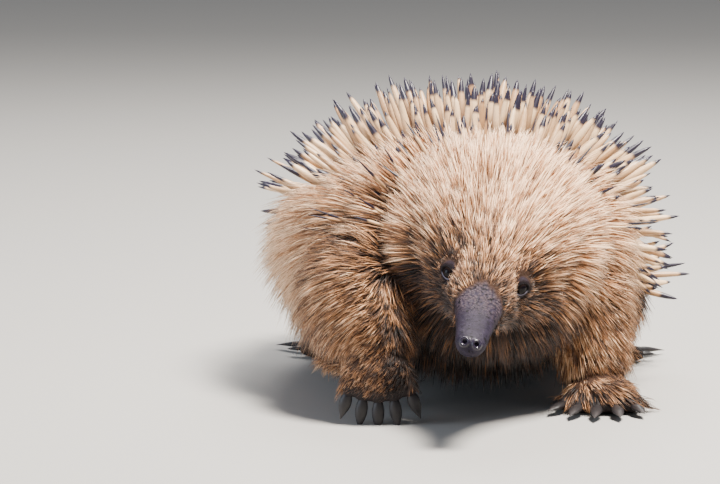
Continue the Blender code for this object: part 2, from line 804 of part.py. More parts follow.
def away_from_face(place, normal):
    """The way the hair of head and neck lies: outwards from the root of the beak, along the skin."""
    out = place - HEAD @ FACE_MIDDLE
    return pointing(out - normal * out.dot(normal))


def along_trunk(place, normal):
    """The way the trunk's hair lies: back over the shoulders, and more and more down along the flank."""
    low = min(max((0.135 - place.z) / 0.07, 0.0), 1.0)
    way = Vector((0.25 * normal.x, 1.0 - 0.45 * low, -0.15 - 0.95 * low))
    return pointing(way - normal * way.dot(normal))


def down_leg(place, normal):
    """The way the hair of a leg lies: down, and a little back and outwards."""
    way = Vector((normal.x * 0.3, 0.25 + normal.y * 0.3, -1.0))
    return pointing(way - normal * way.dot(normal))


def lock_form(place, normal, lie, size, lift, droop):
    """A flat tapered lock with a ridged back, rooted under the skin and bending onto its lie."""
    length, width = size
    rise, run = math.sin(math.radians(lift)), math.cos(math.radians(lift))
    rings = []
    for share, wide in ((-0.12, 0.80), (0.30, 1.0), (0.68, 0.72)):
        centre = place + lie * length * run * share + normal * length * (rise * share - 0.22 * max(share, 0) ** 2)
        centre.z -= droop * length * max(share, 0) ** 2
        if share < 0:
            centre -= normal * LOCK_SINK
        ahead = pointing(lie * run + normal * (rise - 0.44 * max(share, 0)))
        side = pointing(ahead.cross(normal))
        back = side.cross(ahead)
        half = width * wide / 2
        thick = width * LOCK_THICKNESS * wide
        rings.append([centre - side * half, centre + side * half, centre + back * thick])
    tip = place + lie * length * run + normal * length * (rise - 0.22) - Vector((0, 0, droop * length))
    return loft(rings, 3, (None, tip))


def spine_form(place, normal, way, length, radius):
    """A spine: a three-sided taper, stout for half of its length, and rooted under the skin."""
    side = pointing(way.cross(Vector((0.3, 0.2, 1.0))))
    up = way.cross(side)
    rings = [
        oval(place - normal * SPINE_SINK, side, up, radius, radius, SPINE_SIDES),
        oval(place + way * length * 0.52, side, up, radius * 0.92, radius * 0.92, SPINE_SIDES),
    ]
    return loft(rings, SPINE_SIDES, (None, place + way * length))


def crosses(form, trees):
    """Whether the form, swollen by the clearance, meets the floor or any of the trees."""
    copy = form.copy()
    face_out(copy)
    copy.normal_update()
    shifts = [corner.normal * CLEARANCE * 1.5 for corner in copy.verts]
    for corner, shift in zip(copy.verts, shifts):
        corner.co += shift
    low = min(corner.co.z for corner in copy.verts) < FLOOR_CLEARANCE
    tree = BVHTree.FromBMesh(copy)
    copy.free()
    return low or any(tree.overlap(other) for other in trees)


def fits(obj, name, make, tries, trees):
    """The first form of the tries that clears the other nodes, as a piece to be joined, or nothing."""
    for size in tries:
        form = make(*size)
        if not crosses(form, trees):
            return [cutter_of(form, f"{obj.name}_{name}")]
        form.free()
    return []


def lay_locks(obj, skin, spec, lie_of, allowed, trees):
    """The locks of one node, each lifted and shortened until it clears the other nodes, or left out."""
    draw = random.Random(spec["seed"] + 100)
    left = tree_of(obj)
    pieces = []
    for place, normal in scatter(skin, spec["spacing"], spec["seed"]):
        scale = 1 + spec["vary"] * draw.uniform(-1, 1)
        swing = Matrix.Rotation(math.radians(draw.uniform(-16, 16)), 3, normal)
        if left.find_nearest(place)[3] > ON_SKIN or not allowed(place, normal):
            continue
        lie = swing @ lie_of(place, normal)

        def make(shorter, lift):
            size = (spec["length"] * scale * shorter, spec["width"] * (0.6 + 0.4 * scale * shorter))
            return lock_form(place, normal, lie, size, spec["lift"] + lift, spec["droop"])

        pieces += fits(obj, "lock", make, LOCK_TRIES, trees)
    return pieces


def set_spines(obj, skin, spacing, lie_of, allowed, trees, seed):
    """The spines of one node, each shortened until it clears the other nodes, or left out."""
    draw = random.Random(seed + 100)
    left = tree_of(obj)
    pieces = []
    for place, normal in scatter(skin, spacing, seed):
        length = SPINE_LENGTH * draw.uniform(0.82, 1.14)
        radius = SPINE_RADIUS * draw.uniform(0.88, 1.10)
        stray = Vector([draw.uniform(-0.10, 0.10) for _ in range(3)])
        if left.find_nearest(place)[3] > ON_SKIN or not allowed(place, normal):
            continue
        aside = abs(normal.x) ** 2
        lean = SPINE_LEAN * (1 - aside) + FLANK_SPINE_LEAN * aside
        way = pointing(normal + lie_of(place, normal) * lean + stray)

        def make(shorter):
            return spine_form(place, normal, way, length * shorter, radius)

        pieces += fits(obj, "spine", make, SPINE_TRIES, trees)
    return pieces


def inside_cut(place, cut, margin):
    """How the place stands to a cut: whether it lies in front of the plane, or nearer to it than margin."""
    point, inward = cut[0]
    return (place - Vector(point)).dot(pointing(inward)) > -margin


def spine_line(place):
    """The height above which the trunk bears spines: lower on the left, and lower towards the rump."""
    right = min(max((0.03 - place.x) / 0.06, 0.0), 1.0)
    start = SPINE_LINE_LEFT + (SPINE_LINE_RIGHT - SPINE_LINE_LEFT) * right
    return max(start - SPINE_LINE_FALL * max(place.y + 0.02, 0.0) * right, SPINE_LINE_LEFT)


def bears_spines(place, normal):
    """Whether the trunk bears spines there: behind the shoulders and above the line along the flank."""
    on_back = place.y > SPINE_FRONT + max(0.150 - place.z, 0.0) * 0.20
    return on_back and place.z > spine_line(place) and normal.z > -0.45


def trees_without(nodes, name):
    """The trees of every node but one."""
    return [tree_of(node) for other, node in nodes.items() if other != name]


def dress(nodes, skins):
    """Grow the locks and spines of every furred node and fuse them to it, from the head back."""

    def on_face(place, normal):
        own = HEAD.inverted() @ place
        clear = (own - FACE_MIDDLE).length > BEAK_BARE and inside_cut(place, HEAD_CUT, -EDGE_MARGIN)
        for side in (-1, 1):
            clear = clear and (own - Matrix.Diagonal((side, 1, 1)) @ EYE_AT).length > EYE_BARE
            clear = clear and (own - Vector((EAR_ASIDE * side, EAR_AT.y, EAR_AT.z))).length > EAR_BARE
        return clear

    def on_neck(place, normal):
        return not inside_cut(place, HEAD_CUT, EDGE_MARGIN) and inside_cut(place, NECK_CUT, -EDGE_MARGIN)

    def on_trunk(place, normal):
        behind_neck = not inside_cut(place, NECK_CUT, EDGE_MARGIN)
        return behind_neck and place.z > BELLY_BARE and not bears_spines(place, normal)

    def on_back(place, normal):
        return not inside_cut(place, NECK_CUT, EDGE_MARGIN) and bears_spines(place, normal)

    def anywhere(place, normal):
        return True

    plan = {"head": (away_from_face, on_face), "neck": (away_from_face, on_neck), "torso": (along_trunk, on_trunk)}
    for name, spec in LOCKS.items():
        lie_of, allowed = plan.get(name, (down_leg, anywhere))
        trees = trees_without(nodes, name)
        pieces = lay_locks(nodes[name], skins[name], spec, lie_of, allowed, trees)
        if name == "torso":
            pieces += set_spines(nodes[name], skins[name], SPINE_SPACING, along_trunk, on_back, trees, 21)
        unite(nodes[name], pieces, name)
    trees = trees_without(nodes, "tail")
    spines = set_spines(nodes["tail"], skins["tail"], TAIL_SPINE_SPACING, along_trunk, anywhere, trees, 22)
    unite(nodes["tail"], spines, "tail")


def settle_origin():
    """Shift every node so that the middle of the whole box is over the origin."""
    corners = [corner.co for obj in ECHIDNA.objects for corner in obj.data.vertices]
    middle = [(max(c[i] for c in corners) + min(c[i] for c in corners)) / 2 for i in range(2)]
    for obj in ECHIDNA.objects:
        obj.data.transform(Matrix.Translation((-middle[0], -middle[1], 0)))


def main():
    """Flesh, face and feet, then the coat, the origin and the shading."""
    nodes, skins = make_flesh()
    make_face(nodes)
    for name, spec in FEET.items():
        for piece in make_foot(name, spec):
            nodes[piece.name] = piece
    dress(nodes, skins)
    settle_origin()
    for obj in ECHIDNA.objects:
        obj.data.shade_smooth()
        obj.data.set_sharp_from_angle(angle=math.radians(40))


main()
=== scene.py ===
"""Looks of the walking echidna: one skin with its face modelled in, fur in tufts, spines, claws and eyes.

Metres, +Z up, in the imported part's frame. The body is drawn in the walking frame that its flesh was drawn
in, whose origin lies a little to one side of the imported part's, and every mesh is moved over at the end.
"""

import logging
import math
import random
from collections.abc import Callable, Iterable, Sequence
from dataclasses import dataclass, field
from enum import Enum

import bmesh
import bpy
import numpy as np
from mathutils import Matrix, Vector
from mathutils.bvhtree import BVHTree
from mathutils.kdtree import KDTree


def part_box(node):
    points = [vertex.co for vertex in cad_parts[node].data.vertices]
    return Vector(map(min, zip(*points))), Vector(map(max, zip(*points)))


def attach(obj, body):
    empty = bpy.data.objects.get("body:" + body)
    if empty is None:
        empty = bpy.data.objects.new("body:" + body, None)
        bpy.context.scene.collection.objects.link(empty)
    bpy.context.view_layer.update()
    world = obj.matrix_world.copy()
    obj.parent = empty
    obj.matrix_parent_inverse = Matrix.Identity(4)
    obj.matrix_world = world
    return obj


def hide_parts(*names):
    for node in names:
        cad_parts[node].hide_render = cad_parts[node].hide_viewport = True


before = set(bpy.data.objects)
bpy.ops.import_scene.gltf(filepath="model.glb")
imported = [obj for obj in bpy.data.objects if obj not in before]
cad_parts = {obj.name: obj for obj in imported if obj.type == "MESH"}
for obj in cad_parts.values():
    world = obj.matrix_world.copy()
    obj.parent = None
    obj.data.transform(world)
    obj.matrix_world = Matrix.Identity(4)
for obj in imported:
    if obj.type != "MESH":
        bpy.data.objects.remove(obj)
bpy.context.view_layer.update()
LOG = logging.getLogger("echidna")

Array = np.ndarray
Colour = tuple[float, float, float]


# Shader maths


class Wire:
    """A socket of a material's nodes that sums can be written on."""

    def __init__(self, tree: "Shading", socket: bpy.types.NodeSocket) -> None:
        """Wrap the socket, and keep the tree that its sums are added to."""
        self.tree = tree
        self.socket = socket

    def _sum(self, operation: str, first: "Wire | float", second: "Wire | float") -> "Wire":
        """A Math node of two values."""
        return self.tree.node("ShaderNodeMath", {"operation": operation}, {0: first, 1: second})

    def __add__(self, other: "Wire | float") -> "Wire":
        """The sum of two values."""
        return self._sum("ADD", self, other)

    __radd__ = __add__

    def __sub__(self, other: "Wire | float") -> "Wire":
        """This value less another."""
        return self._sum("SUBTRACT", self, other)

    def __rsub__(self, other: float) -> "Wire":
        """A number less this value."""
        return self._sum("SUBTRACT", other, self)

    def __mul__(self, other: "Wire | float") -> "Wire":
        """The product of two values."""
        return self._sum("MULTIPLY", self, other)

    __rmul__ = __mul__

    def __truediv__(self, other: "Wire | float") -> "Wire":
        """This value over another."""
        return self._sum("DIVIDE", self, other)

    def __rtruediv__(self, other: float) -> "Wire":
        """A number over this value."""
        return self._sum("DIVIDE", other, self)

    def clamped(self) -> "Wire":
        """The value held between 0 and 1."""
        return self.tree.node("ShaderNodeClamp", {}, {"Value": self})

    def step(self, low: float, high: float) -> "Wire":
        """0 below low and 1 above high, with a smooth rise between.

        Args:
            low: the value where the rise starts.
            high: the value where it ends, which may be the smaller, for a fall.

        Returns:
            The risen value.
        """
        return self.tree.node(
            "ShaderNodeMapRange",
            {"interpolation_type": "SMOOTHSTEP"},
            {"Value": self, "From Min": low, "From Max": high},
        )


class Shading:
    """One material's node tree, with the Principled shader that everything ends in."""

    def __init__(self, name: str, **constants: float | Colour) -> None:
        """Make the material.

        Args:
            name: the material's name.
            constants: values of the Principled shader's own sockets, with _ for each space of their names.
        """
        self.material = bpy.data.materials.new(name)
        self.material.use_nodes = True
        self.tree = self.material.node_tree
        self.shader = self.tree.nodes["Principled BSDF"]
        for key, value in constants.items():
            socket = self.shader.inputs[key.replace("_", " ")]
            socket.default_value = (*value, 1.0) if isinstance(value, tuple) and len(value) == 3 else value

    def node(self, kind: str, settings: dict, sockets: dict, out: int | str = 0) -> Wire:
        """Add any node.

        Args:
            kind: the node's type.
            settings: its properties, set first; "stops" are a ramp's places and colours.
            sockets: a value or a wire for each of its inputs, by name or number.
            out: which output to return.

        Returns:
            That output.
        """
        made = self.tree.nodes.new(kind)
        for key, value in settings.items():
            if key == "stops":
                ramp = made.color_ramp
                while len(ramp.elements) < len(value):
                    ramp.elements.new(0.5)
                for element, (place, colour) in zip(ramp.elements, value):
                    element.position = place
                    element.color = (*colour, 1.0)
            else:
                setattr(made, key, value)
        for key, value in sockets.items():
            if isinstance(value, Wire):
                self.tree.links.new(value.socket, made.inputs[key])
            elif isinstance(value, tuple) and len(value) == 3 and made.inputs[key].type == "RGBA":
                made.inputs[key].default_value = (*value, 1.0)
            else:
                made.inputs[key].default_value = value
        return Wire(self, made.outputs[out])

    def attribute(self, name: str) -> Wire:
        """The value that the mesh holds under that name."""
        return self.node("ShaderNodeAttribute", {"attribute_name": name}, {}, "Fac")

    def place(self) -> Wire:
        """The place in the object's own frame."""
        return self.node("ShaderNodeTexCoord", {}, {}, "Object")

    def noise(self, scale: float, detail: float = 3.0, roughness: float = 0.55) -> Wire:
        """Cloudy variation at that scale."""
        sockets = {"Vector": self.place(), "Scale": scale, "Detail": detail, "Roughness": roughness}
        return self.node("ShaderNodeTexNoise", {}, sockets)

    def cells(self, scale: float, feature: str = "F1") -> Wire:
        """Distance within pebbly cells at that scale."""
        settings = {"feature": feature}
        return self.node("ShaderNodeTexVoronoi", settings, {"Vector": self.place(), "Scale": scale}, "Distance")

    def mix(self, factor: Wire | float, first: Wire | Colour, second: Wire | Colour, blend: str = "MIX") -> Wire:
        """One colour mixed into another.

        Args:
            factor: how much of the second.
            first: the colour at 0.
            second: the colour at 1.
            blend: the Mix node's way of mixing.

        Returns:
            The mixed colour.
        """
        sockets = {0: factor, 6: first, 7: second}
        return self.node("ShaderNodeMix", {"data_type": "RGBA", "blend_type": blend}, sockets, 2)

    def ramp(self, value: Wire, stops: Sequence[tuple[float, Colour]]) -> Wire:
        """The colour that a ramp gives for the value."""
        return self.node("ShaderNodeValToRGB", {"stops": stops}, {0: value})

    def bump(self, height: Wire, strength: float, distance: float) -> Wire:
        """A normal bumped by a height.

        Args:
            height: the height, from 0 to 1.
            strength: how much of it shows.
            distance: what a height of 1 measures.

        Returns:
            The normal.
        """
        return self.node("ShaderNodeBump", {}, {"Height": height, "Strength": strength, "Distance": distance})

    def set(self, **wires: Wire) -> bpy.types.Material:
        """Lead wires into the shader's sockets and give the material back."""
        for key, value in wires.items():
            self.tree.links.new(value.socket, self.shader.inputs[key.replace("_", " ")])
        return self.material


# Finishes


@dataclass(frozen=True)
class FurFinish:
    """Colours of the hair from the darkest underfur to the palest tips; the pale end also carries painted sunlight.
    """

    dark: Colour = (0.009, 0.005, 0.004)
    brown: Colour = (0.092, 0.046, 0.027)
    gold: Colour = (0.450, 0.206, 0.083)
    cream: Colour = (0.960, 0.645, 0.405)

    def tone(self, shading: Shading, value: Wire) -> Wire:
        """The hair's colour for a tone from 0, dark, to 1, pale, with painted light and shade in the tone."""
        stops = ((0.0, self.dark), (0.34, self.brown), (0.68, self.gold), (1.0, self.cream))
        return shading.ramp(value, stops)

    def build(self) -> bpy.types.Material:
        """The material of the tufts: a dark root, a paler tip and each hair a little unlike the next."""
        shading = Shading("fur", Roughness=0.55, Specular_IOR_Level=0.22, Sheen_Weight=0.10, Sheen_Roughness=0.5)
        along = shading.attribute("along")
        strand = shading.attribute("strand")
        mark = shading.attribute("mark")
        # The tone holds the coat's markings with painted light and shade, a random share for each hair and a paler
        # tip.
        tone = mark + (strand - 0.5) * 0.95 + along.step(0.0, 0.90) * 0.60 - 0.44
        return shading.set(Base_Color=self.tone(shading, tone.clamped()))


@dataclass(frozen=True)
class SpineFinish:
    """Colours of a spine: brown at its root, cream along the shaft and blue-black at its tip."""

    root: Colour = (0.140, 0.070, 0.036)
    shaft: Colour = (0.380, 0.205, 0.095)
    pale: Colour = (0.790, 0.545, 0.320)
    tip: Colour = (0.015, 0.011, 0.024)

    def build(self) -> bpy.types.Material:
        """The material of the spines, with a soft edge between shaft and tip that is each spine's own."""
        shading = Shading("spine", Roughness=0.38, Specular_IOR_Level=0.45)
        along = shading.attribute("along")
        strand = shading.attribute("strand")
        tip_at = 0.91 - shading.attribute("tip") * 0.10
        streak = shading.noise(700.0, 2.0)
        shaft = shading.mix((strand * 1.1 + streak * 0.5 - 0.30).clamped(), self.shaft, self.pale)
        body = shading.mix(along.step(0.18, 0.62), self.root, shaft)
        dark = (along - tip_at + (streak - 0.5) * 0.03).step(-0.05, 0.03)
        return shading.set(Base_Color=shading.mix(dark, body, self.tip))


@dataclass(frozen=True)
class HideFinish:
    """Skin: dark under the fur, slate and finely pebbled on the beak, greyish purple round the eyes."""

    under_fur: Colour = (0.060, 0.038, 0.028)
    slate: Colour = (0.012, 0.0088, 0.0172)
    worn: Colour = (0.023, 0.0172, 0.032)
    speck: Colour = (0.002, 0.0015, 0.003)
    scaly: Colour = (0.090, 0.063, 0.070)
    lid: Colour = (0.013, 0.0078, 0.0092)
    lash: Colour = (0.006, 0.004, 0.005)
    rim: Colour = (0.150, 0.140, 0.180)
    paw: Colour = (0.018, 0.014, 0.014)

    def build(self, fur: FurFinish) -> bpy.types.Material:
        """The skin's material, by the masks that its mesh holds.

        Args:
            fur: the fur, whose tone the skin takes where it is furred.

        Returns:
            The material.
        """
        shading = Shading("hide", Specular_IOR_Level=0.13, Coat_Roughness=0.12)
        furred = shading.attribute("furred")
        scaly = shading.attribute("scaly")
        wet = shading.attribute("wet")
        pebble = shading.cells(620.0)
        speckle = shading.noise(520.0, 2.0, 0.5).step(0.60, 0.64) * (1.0 - wet)
        patch = shading.noise(210.0, 4.0)
        beak = shading.mix(patch.step(0.35, 0.75), self.slate, self.worn)
        # The pebbles are paler in their raised middles and darker at their edges: partly the scales' own colour,
        # partly painted highlight on their tops and painted shade between them.
        beak = shading.mix((scaly * (0.85 - pebble * 1.1)).clamped(), beak, self.scaly)
        beak = shading.mix(speckle * 0.95, beak, self.speck)
        beak = shading.mix(shading.attribute("paw"), beak, self.paw)
        beak = shading.mix(shading.attribute("lid"), beak, self.lid)
        beak = shading.mix(shading.attribute("lash"), beak, self.lash)
        beak = shading.mix(shading.attribute("rim"), beak, self.rim)
        # Under the fur the skin takes the coat's tone, with its painted light and shade.
        under = fur.tone(shading, (shading.attribute("mark") * 0.5 - 0.10).clamped())
        colour = shading.mix(furred, beak, under)
        height = (1.0 - pebble) * (0.25 + scaly * 0.75) + shading.noise(1800.0, 3.0) * 0.35
        normal = shading.bump(height, 0.85, 0.0009)
        roughness = 0.56 - wet * 0.42 + furred * 0.30
        return shading.set(Base_Color=colour, Roughness=roughness, Coat_Weight=wet * 0.7, Normal=normal)


@dataclass(frozen=True)
class HornFinish:
    """Dark horn, paler and scuffed towards the worn tip."""

    base: Colour = (0.012, 0.010, 0.011)
    worn: Colour = (0.046, 0.040, 0.040)

    def build(self) -> bpy.types.Material:
        """The claws' material, with fine grooves along the horn."""
        shading = Shading("horn", Specular_IOR_Level=0.34)
        along = shading.attribute("along")
        groove = shading.attribute("groove")
        scuff = shading.noise(420.0, 4.0)
        wear = (along.step(0.45, 1.0) * 0.75 + (scuff - 0.5) * 0.7).clamped()
        normal = shading.bump(groove * 0.6 + scuff * 0.5, 0.35, 0.0003)
        return shading.set(
            Base_Color=shading.mix(wear, self.base, self.worn), Roughness=0.32 + scuff * 0.25, Normal=normal
        )


@dataclass(frozen=True)
class EyeFinish:
    """A dark brown iris, nearly black, under a clear wet cornea."""

    pupil: Colour = (0.003, 0.002, 0.003)
    iris: Colour = (0.008, 0.0045, 0.0035)
    white: Colour = (0.02, 0.015, 0.018)

    def build(self) -> bpy.types.Material:
        """The eyes' material."""
        shading = Shading("eye", Roughness=0.60, Coat_Weight=0.30, Coat_Roughness=0.02, Specular_IOR_Level=0.0)
        stops = ((0.0, self.pupil), (0.36, self.pupil), (0.46, self.iris), (0.80, self.pupil), (1.0, self.white))
        return shading.set(Base_Color=shading.ramp(shading.attribute("out"), stops))


# The body's plan


def smooth(value: Array, low: float, high: float) -> Array:
    """A smooth rise from 0 at low to 1 at high, or a fall where high is the smaller."""
    share = np.clip((value - low) / (high - low), 0.0, 1.0)
    return share * share * (3.0 - 2.0 * share)


def unit(ways: Array) -> Array:
    """The rows as unit vectors."""
    return ways / np.maximum(np.linalg.norm(ways, axis=-1, keepdims=True), 1e-9)


def pointing(way: Iterable[float]) -> Vector:
    """A unit vector of those parts."""
    return Vector(way).normalized()


def along_curve(points: Sequence[Sequence[float]], share: float) -> Vector:
    """A point on the smooth curve through the points, at a share of its spans from 0 to 1."""
    spans = len(points) - 1
    at = min(max(share, 0.0), 1.0) * spans
    step = min(int(at), spans - 1)
    t = at - step
    before, start = Vector(points[max(step - 1, 0)]), Vector(points[step])
    end, after = Vector(points[step + 1]), Vector(points[min(step + 2, spans)])
    slope_a, slope_b = (end - before) * 0.5, (after - start) * 0.5
    return (
        start * (2 * t**3 - 3 * t**2 + 1)
        + slope_a * (t**3 - 2 * t**2 + t)
        + end * (3 * t**2 - 2 * t**3)
        + slope_b * (t**3 - t**2)
    )


def shaped_ball(around: int, along: int, place: Callable[[Vector], Vector]) -> bmesh.types.BMesh:
    """A sphere with every corner moved to where place puts its unit direction.

    Args:
        around: corners round the sphere.
        along: corners from pole to pole.
        place: gives a corner's place for its direction.

    Returns:
        The shaped mesh, with its faces outwards.
    """
    form = bmesh.new()
    bmesh.ops.create_uvsphere(form, u_segments=around, v_segments=along, radius=1.0)
    for corner in form.verts:
        corner.co = place(corner.co.normalized())
    bmesh.ops.recalc_face_normals(form, faces=form.faces)
    if form.calc_volume(signed=True) < 0:
        bmesh.ops.reverse_faces(form, faces=form.faces)
    return form


def ellipsoid(middle: Vector, radii: Vector, turn: Matrix, around: int = 40, along: int = 28) -> bmesh.types.BMesh:
    """A ball of three radii, turned about its middle."""
    return shaped_ball(around, along, lambda way: middle + turn @ (Matrix.Diagonal(radii) @ way))


def tube(centres: Sequence[Sequence[float]], radii: Sequence[float], around: int = 32) -> bmesh.types.BMesh:
    """A rounded tube through places, with a radius at each.

    Args:
        centres: places along the tube.
        radii: the tube's radius at each place.
        around: corners round it.

    Returns:
        The tube's mesh.
    """
    sizes = [(radius, 0.0, 0.0) for radius in radii]

    def place(way: Vector) -> Vector:
        """Where the tube's skin lies in that direction."""
        share = (1 - way.z) / 2
        centre = along_curve(centres, share)
        ahead = along_curve(centres, min(share + 0.02, 1.0)) - along_curve(centres, max(share - 0.02, 0.0))
        ahead.normalize()
        across = pointing(Vector((1, 0, 0)) - ahead * ahead.x)
        side = across * way.x + ahead.cross(across) * way.y
        ring = max(1 - way.z**2, 0.0) ** 0.35
        radius = along_curve(sizes, share).x
        return centre + side.normalized() * radius * ring - ahead * way.z * radius * 0.4

    return shaped_ball(around, around, place)


@dataclass(frozen=True)
class HeadPlan:
    """The head's own frame and sections: the beak lies along -Y and the eyes' line across.

    Each section holds its place along Y, half width, top and bottom.
    """

    at: Vector = Vector((0.0064, -0.1330, 0.0835))
    pitch: float = math.radians(20.5)
    roll: float = math.radians(13)
    yaw: float = math.radians(-8.5)
    squareness: float = 0.90
    sections: tuple[tuple[float, float, float, float], ...] = (
        (-0.0723, 0.0042, 0.0011, -0.0055),
        (-0.0697, 0.0074, 0.0038, -0.0078),
        (-0.0648, 0.0089, 0.0053, -0.0089),
        (-0.0574, 0.0095, 0.0061, -0.0095),
        (-0.0480, 0.0105, 0.0071, -0.0103),
        (-0.0386, 0.0119, 0.0086, -0.0114),
        (-0.0312, 0.0134, 0.0100, -0.0124),
        (-0.0240, 0.0146, 0.0120, -0.0134),
        (-0.0150, 0.0174, 0.0153, -0.0148),
        (-0.0060, 0.0208, 0.0200, -0.0165),
        (0.0040, 0.0252, 0.0248, -0.0192),
        (0.0150, 0.0294, 0.0290, -0.0220),
        (0.0280, 0.0338, 0.0328, -0.0254),
        (0.0420, 0.0382, 0.0360, -0.0290),
        (0.0560, 0.0410, 0.0380, -0.0316),
        (0.0660, 0.0380, 0.0350, -0.0290),
    )
    tip: tuple[float, float] = (-0.0734, -0.0024)
    beak_sections: int = 7
    beak_sides: int = 12
    beak_root: float = -0.030
    nostril: Vector = Vector((0.0034, -0.0711, 0.0022))
    mouth: Vector = Vector((0.0, -0.0714, -0.0054))
    eye_look: Vector = Vector((0.67, -0.71, 0.20))
    eye_radius: float = 0.0044

    @property
    def matrix(self) -> Matrix:
        """From the head's frame to the body's."""
        turn = Matrix.Rotation(self.yaw, 4, "Z") @ Matrix.Rotation(self.pitch, 4, "X")
        return Matrix.Translation(self.at) @ turn @ Matrix.Rotation(self.roll, 4, "Y")

    def own(self, places: Array) -> Array:
        """The places in the head's frame."""
        return (places - np.array(self.at)) @ np.array(self.matrix.to_3x3())

    def form(self) -> bmesh.types.BMesh:
        """The head and beak as one smooth closed form."""
        matrix = self.matrix
        whole = [(self.tip[0], 0.0, self.tip[1], self.tip[1]), *self.sections]
        back = (self.sections[-1][0] + 0.004, 0.0, 0.002, 0.002)
        whole.append(back)
        widths = [(y, wide, 0.0) for y, wide, _, _ in whole]
        heights = [(top, low, 0.0) for _, _, top, low in whole]

        def place(way: Vector) -> Vector:
            """Where the head's skin lies in that direction."""
            share = math.acos(min(max(-way.z, -1.0), 1.0)) / math.pi
            y, wide, _ = along_curve(widths, share)
            top, low, _ = along_curve(heights, share)
            ring = math.hypot(way.x, way.y) or 1.0
            across, up = way.x / ring, way.y / ring
            across = math.copysign(abs(across) ** self.squareness, across)
            up = math.copysign(abs(up) ** self.squareness, up)
            middle = (top + low) / 2 * max(1 - wide / 0.004, 0.0)
            return matrix @ Vector((across * wide, y, up * (top if up > 0 else -low) + middle * (1 - abs(up))))

        return shaped_ball(64, 120, place)


@dataclass(frozen=True)
class Limb:
    """A limb from the trunk out: the places of its joints and the flesh's radius at each."""

    joints: tuple[tuple[float, float, float], ...]
    radii: tuple[float, ...]

    def form(self) -> bmesh.types.BMesh:
        """The limb's flesh."""
        return tube(self.joints, self.radii)

    def depth(self, places: Array) -> tuple[Array, Array]:
        """How far places stand off the limb's flesh, and how far down the limb they are.

        Args:
            places: one place a row.

        Returns:
            The distance from the flesh, and the share of the limb's length from 0 to 1.
        """
        shares = np.linspace(0.0, 1.0, 25)
        centres = np.array([along_curve(self.joints, s) for s in shares])
        radii = np.array([along_curve([(r, 0.0, 0.0) for r in self.radii], s).x for s in shares])
        off = np.linalg.norm(places[:, None, :] - centres[None], axis=2) - radii[None]
        nearest = off.argmin(axis=1)
        return off.min(axis=1), shares[nearest]


@dataclass(frozen=True)
class Foot:
    """A paw, its toes and its claws.

    The heading turns the toes about Z from straight ahead, the slope is their fall from level, and claws and
    splay go from the animal's right to its left.
    """

    at: Vector
    radii: Vector
    heading: float
    slope: float
    claws: tuple[float, ...]
    splay: tuple[float, ...]
    toe_radius: float = 0.0056
    toe_spread: float = 0.70
    toe_reach: float = 0.0030

    def toes(self) -> list[tuple[Vector, Vector, Vector, Vector, float]]:
        """For each toe its root, the way it points, its side, where its claw starts and the claw's length."""
        heading, slope = math.radians(self.heading), math.radians(self.slope)
        ahead = Vector((math.sin(heading), -math.cos(heading), 0))
        across = Vector((math.cos(heading), math.sin(heading), 0))
        forward = pointing(ahead * math.cos(slope) - Vector((0, 0, math.sin(slope))))
        above = forward.cross(across) if self.slope else Vector((0, 0, 1))
        reach = self.radii.z if self.slope else self.radii.y
        found = []
        for number, (length, splay) in enumerate(zip(self.claws, self.splay)):
            turn = Matrix.Rotation(math.radians(splay), 3, above)
            way, side = turn @ forward, turn @ across
            aside = (number - 2) / 2
            root = self.at + across * self.radii.x * self.toe_spread * aside
            if not self.slope:
                root.z = self.toe_radius * 0.94
            end = root + way * (reach * (1 - 0.28 * aside**2) + self.toe_reach)
            found.append((root, way, side, end, length))
        return found


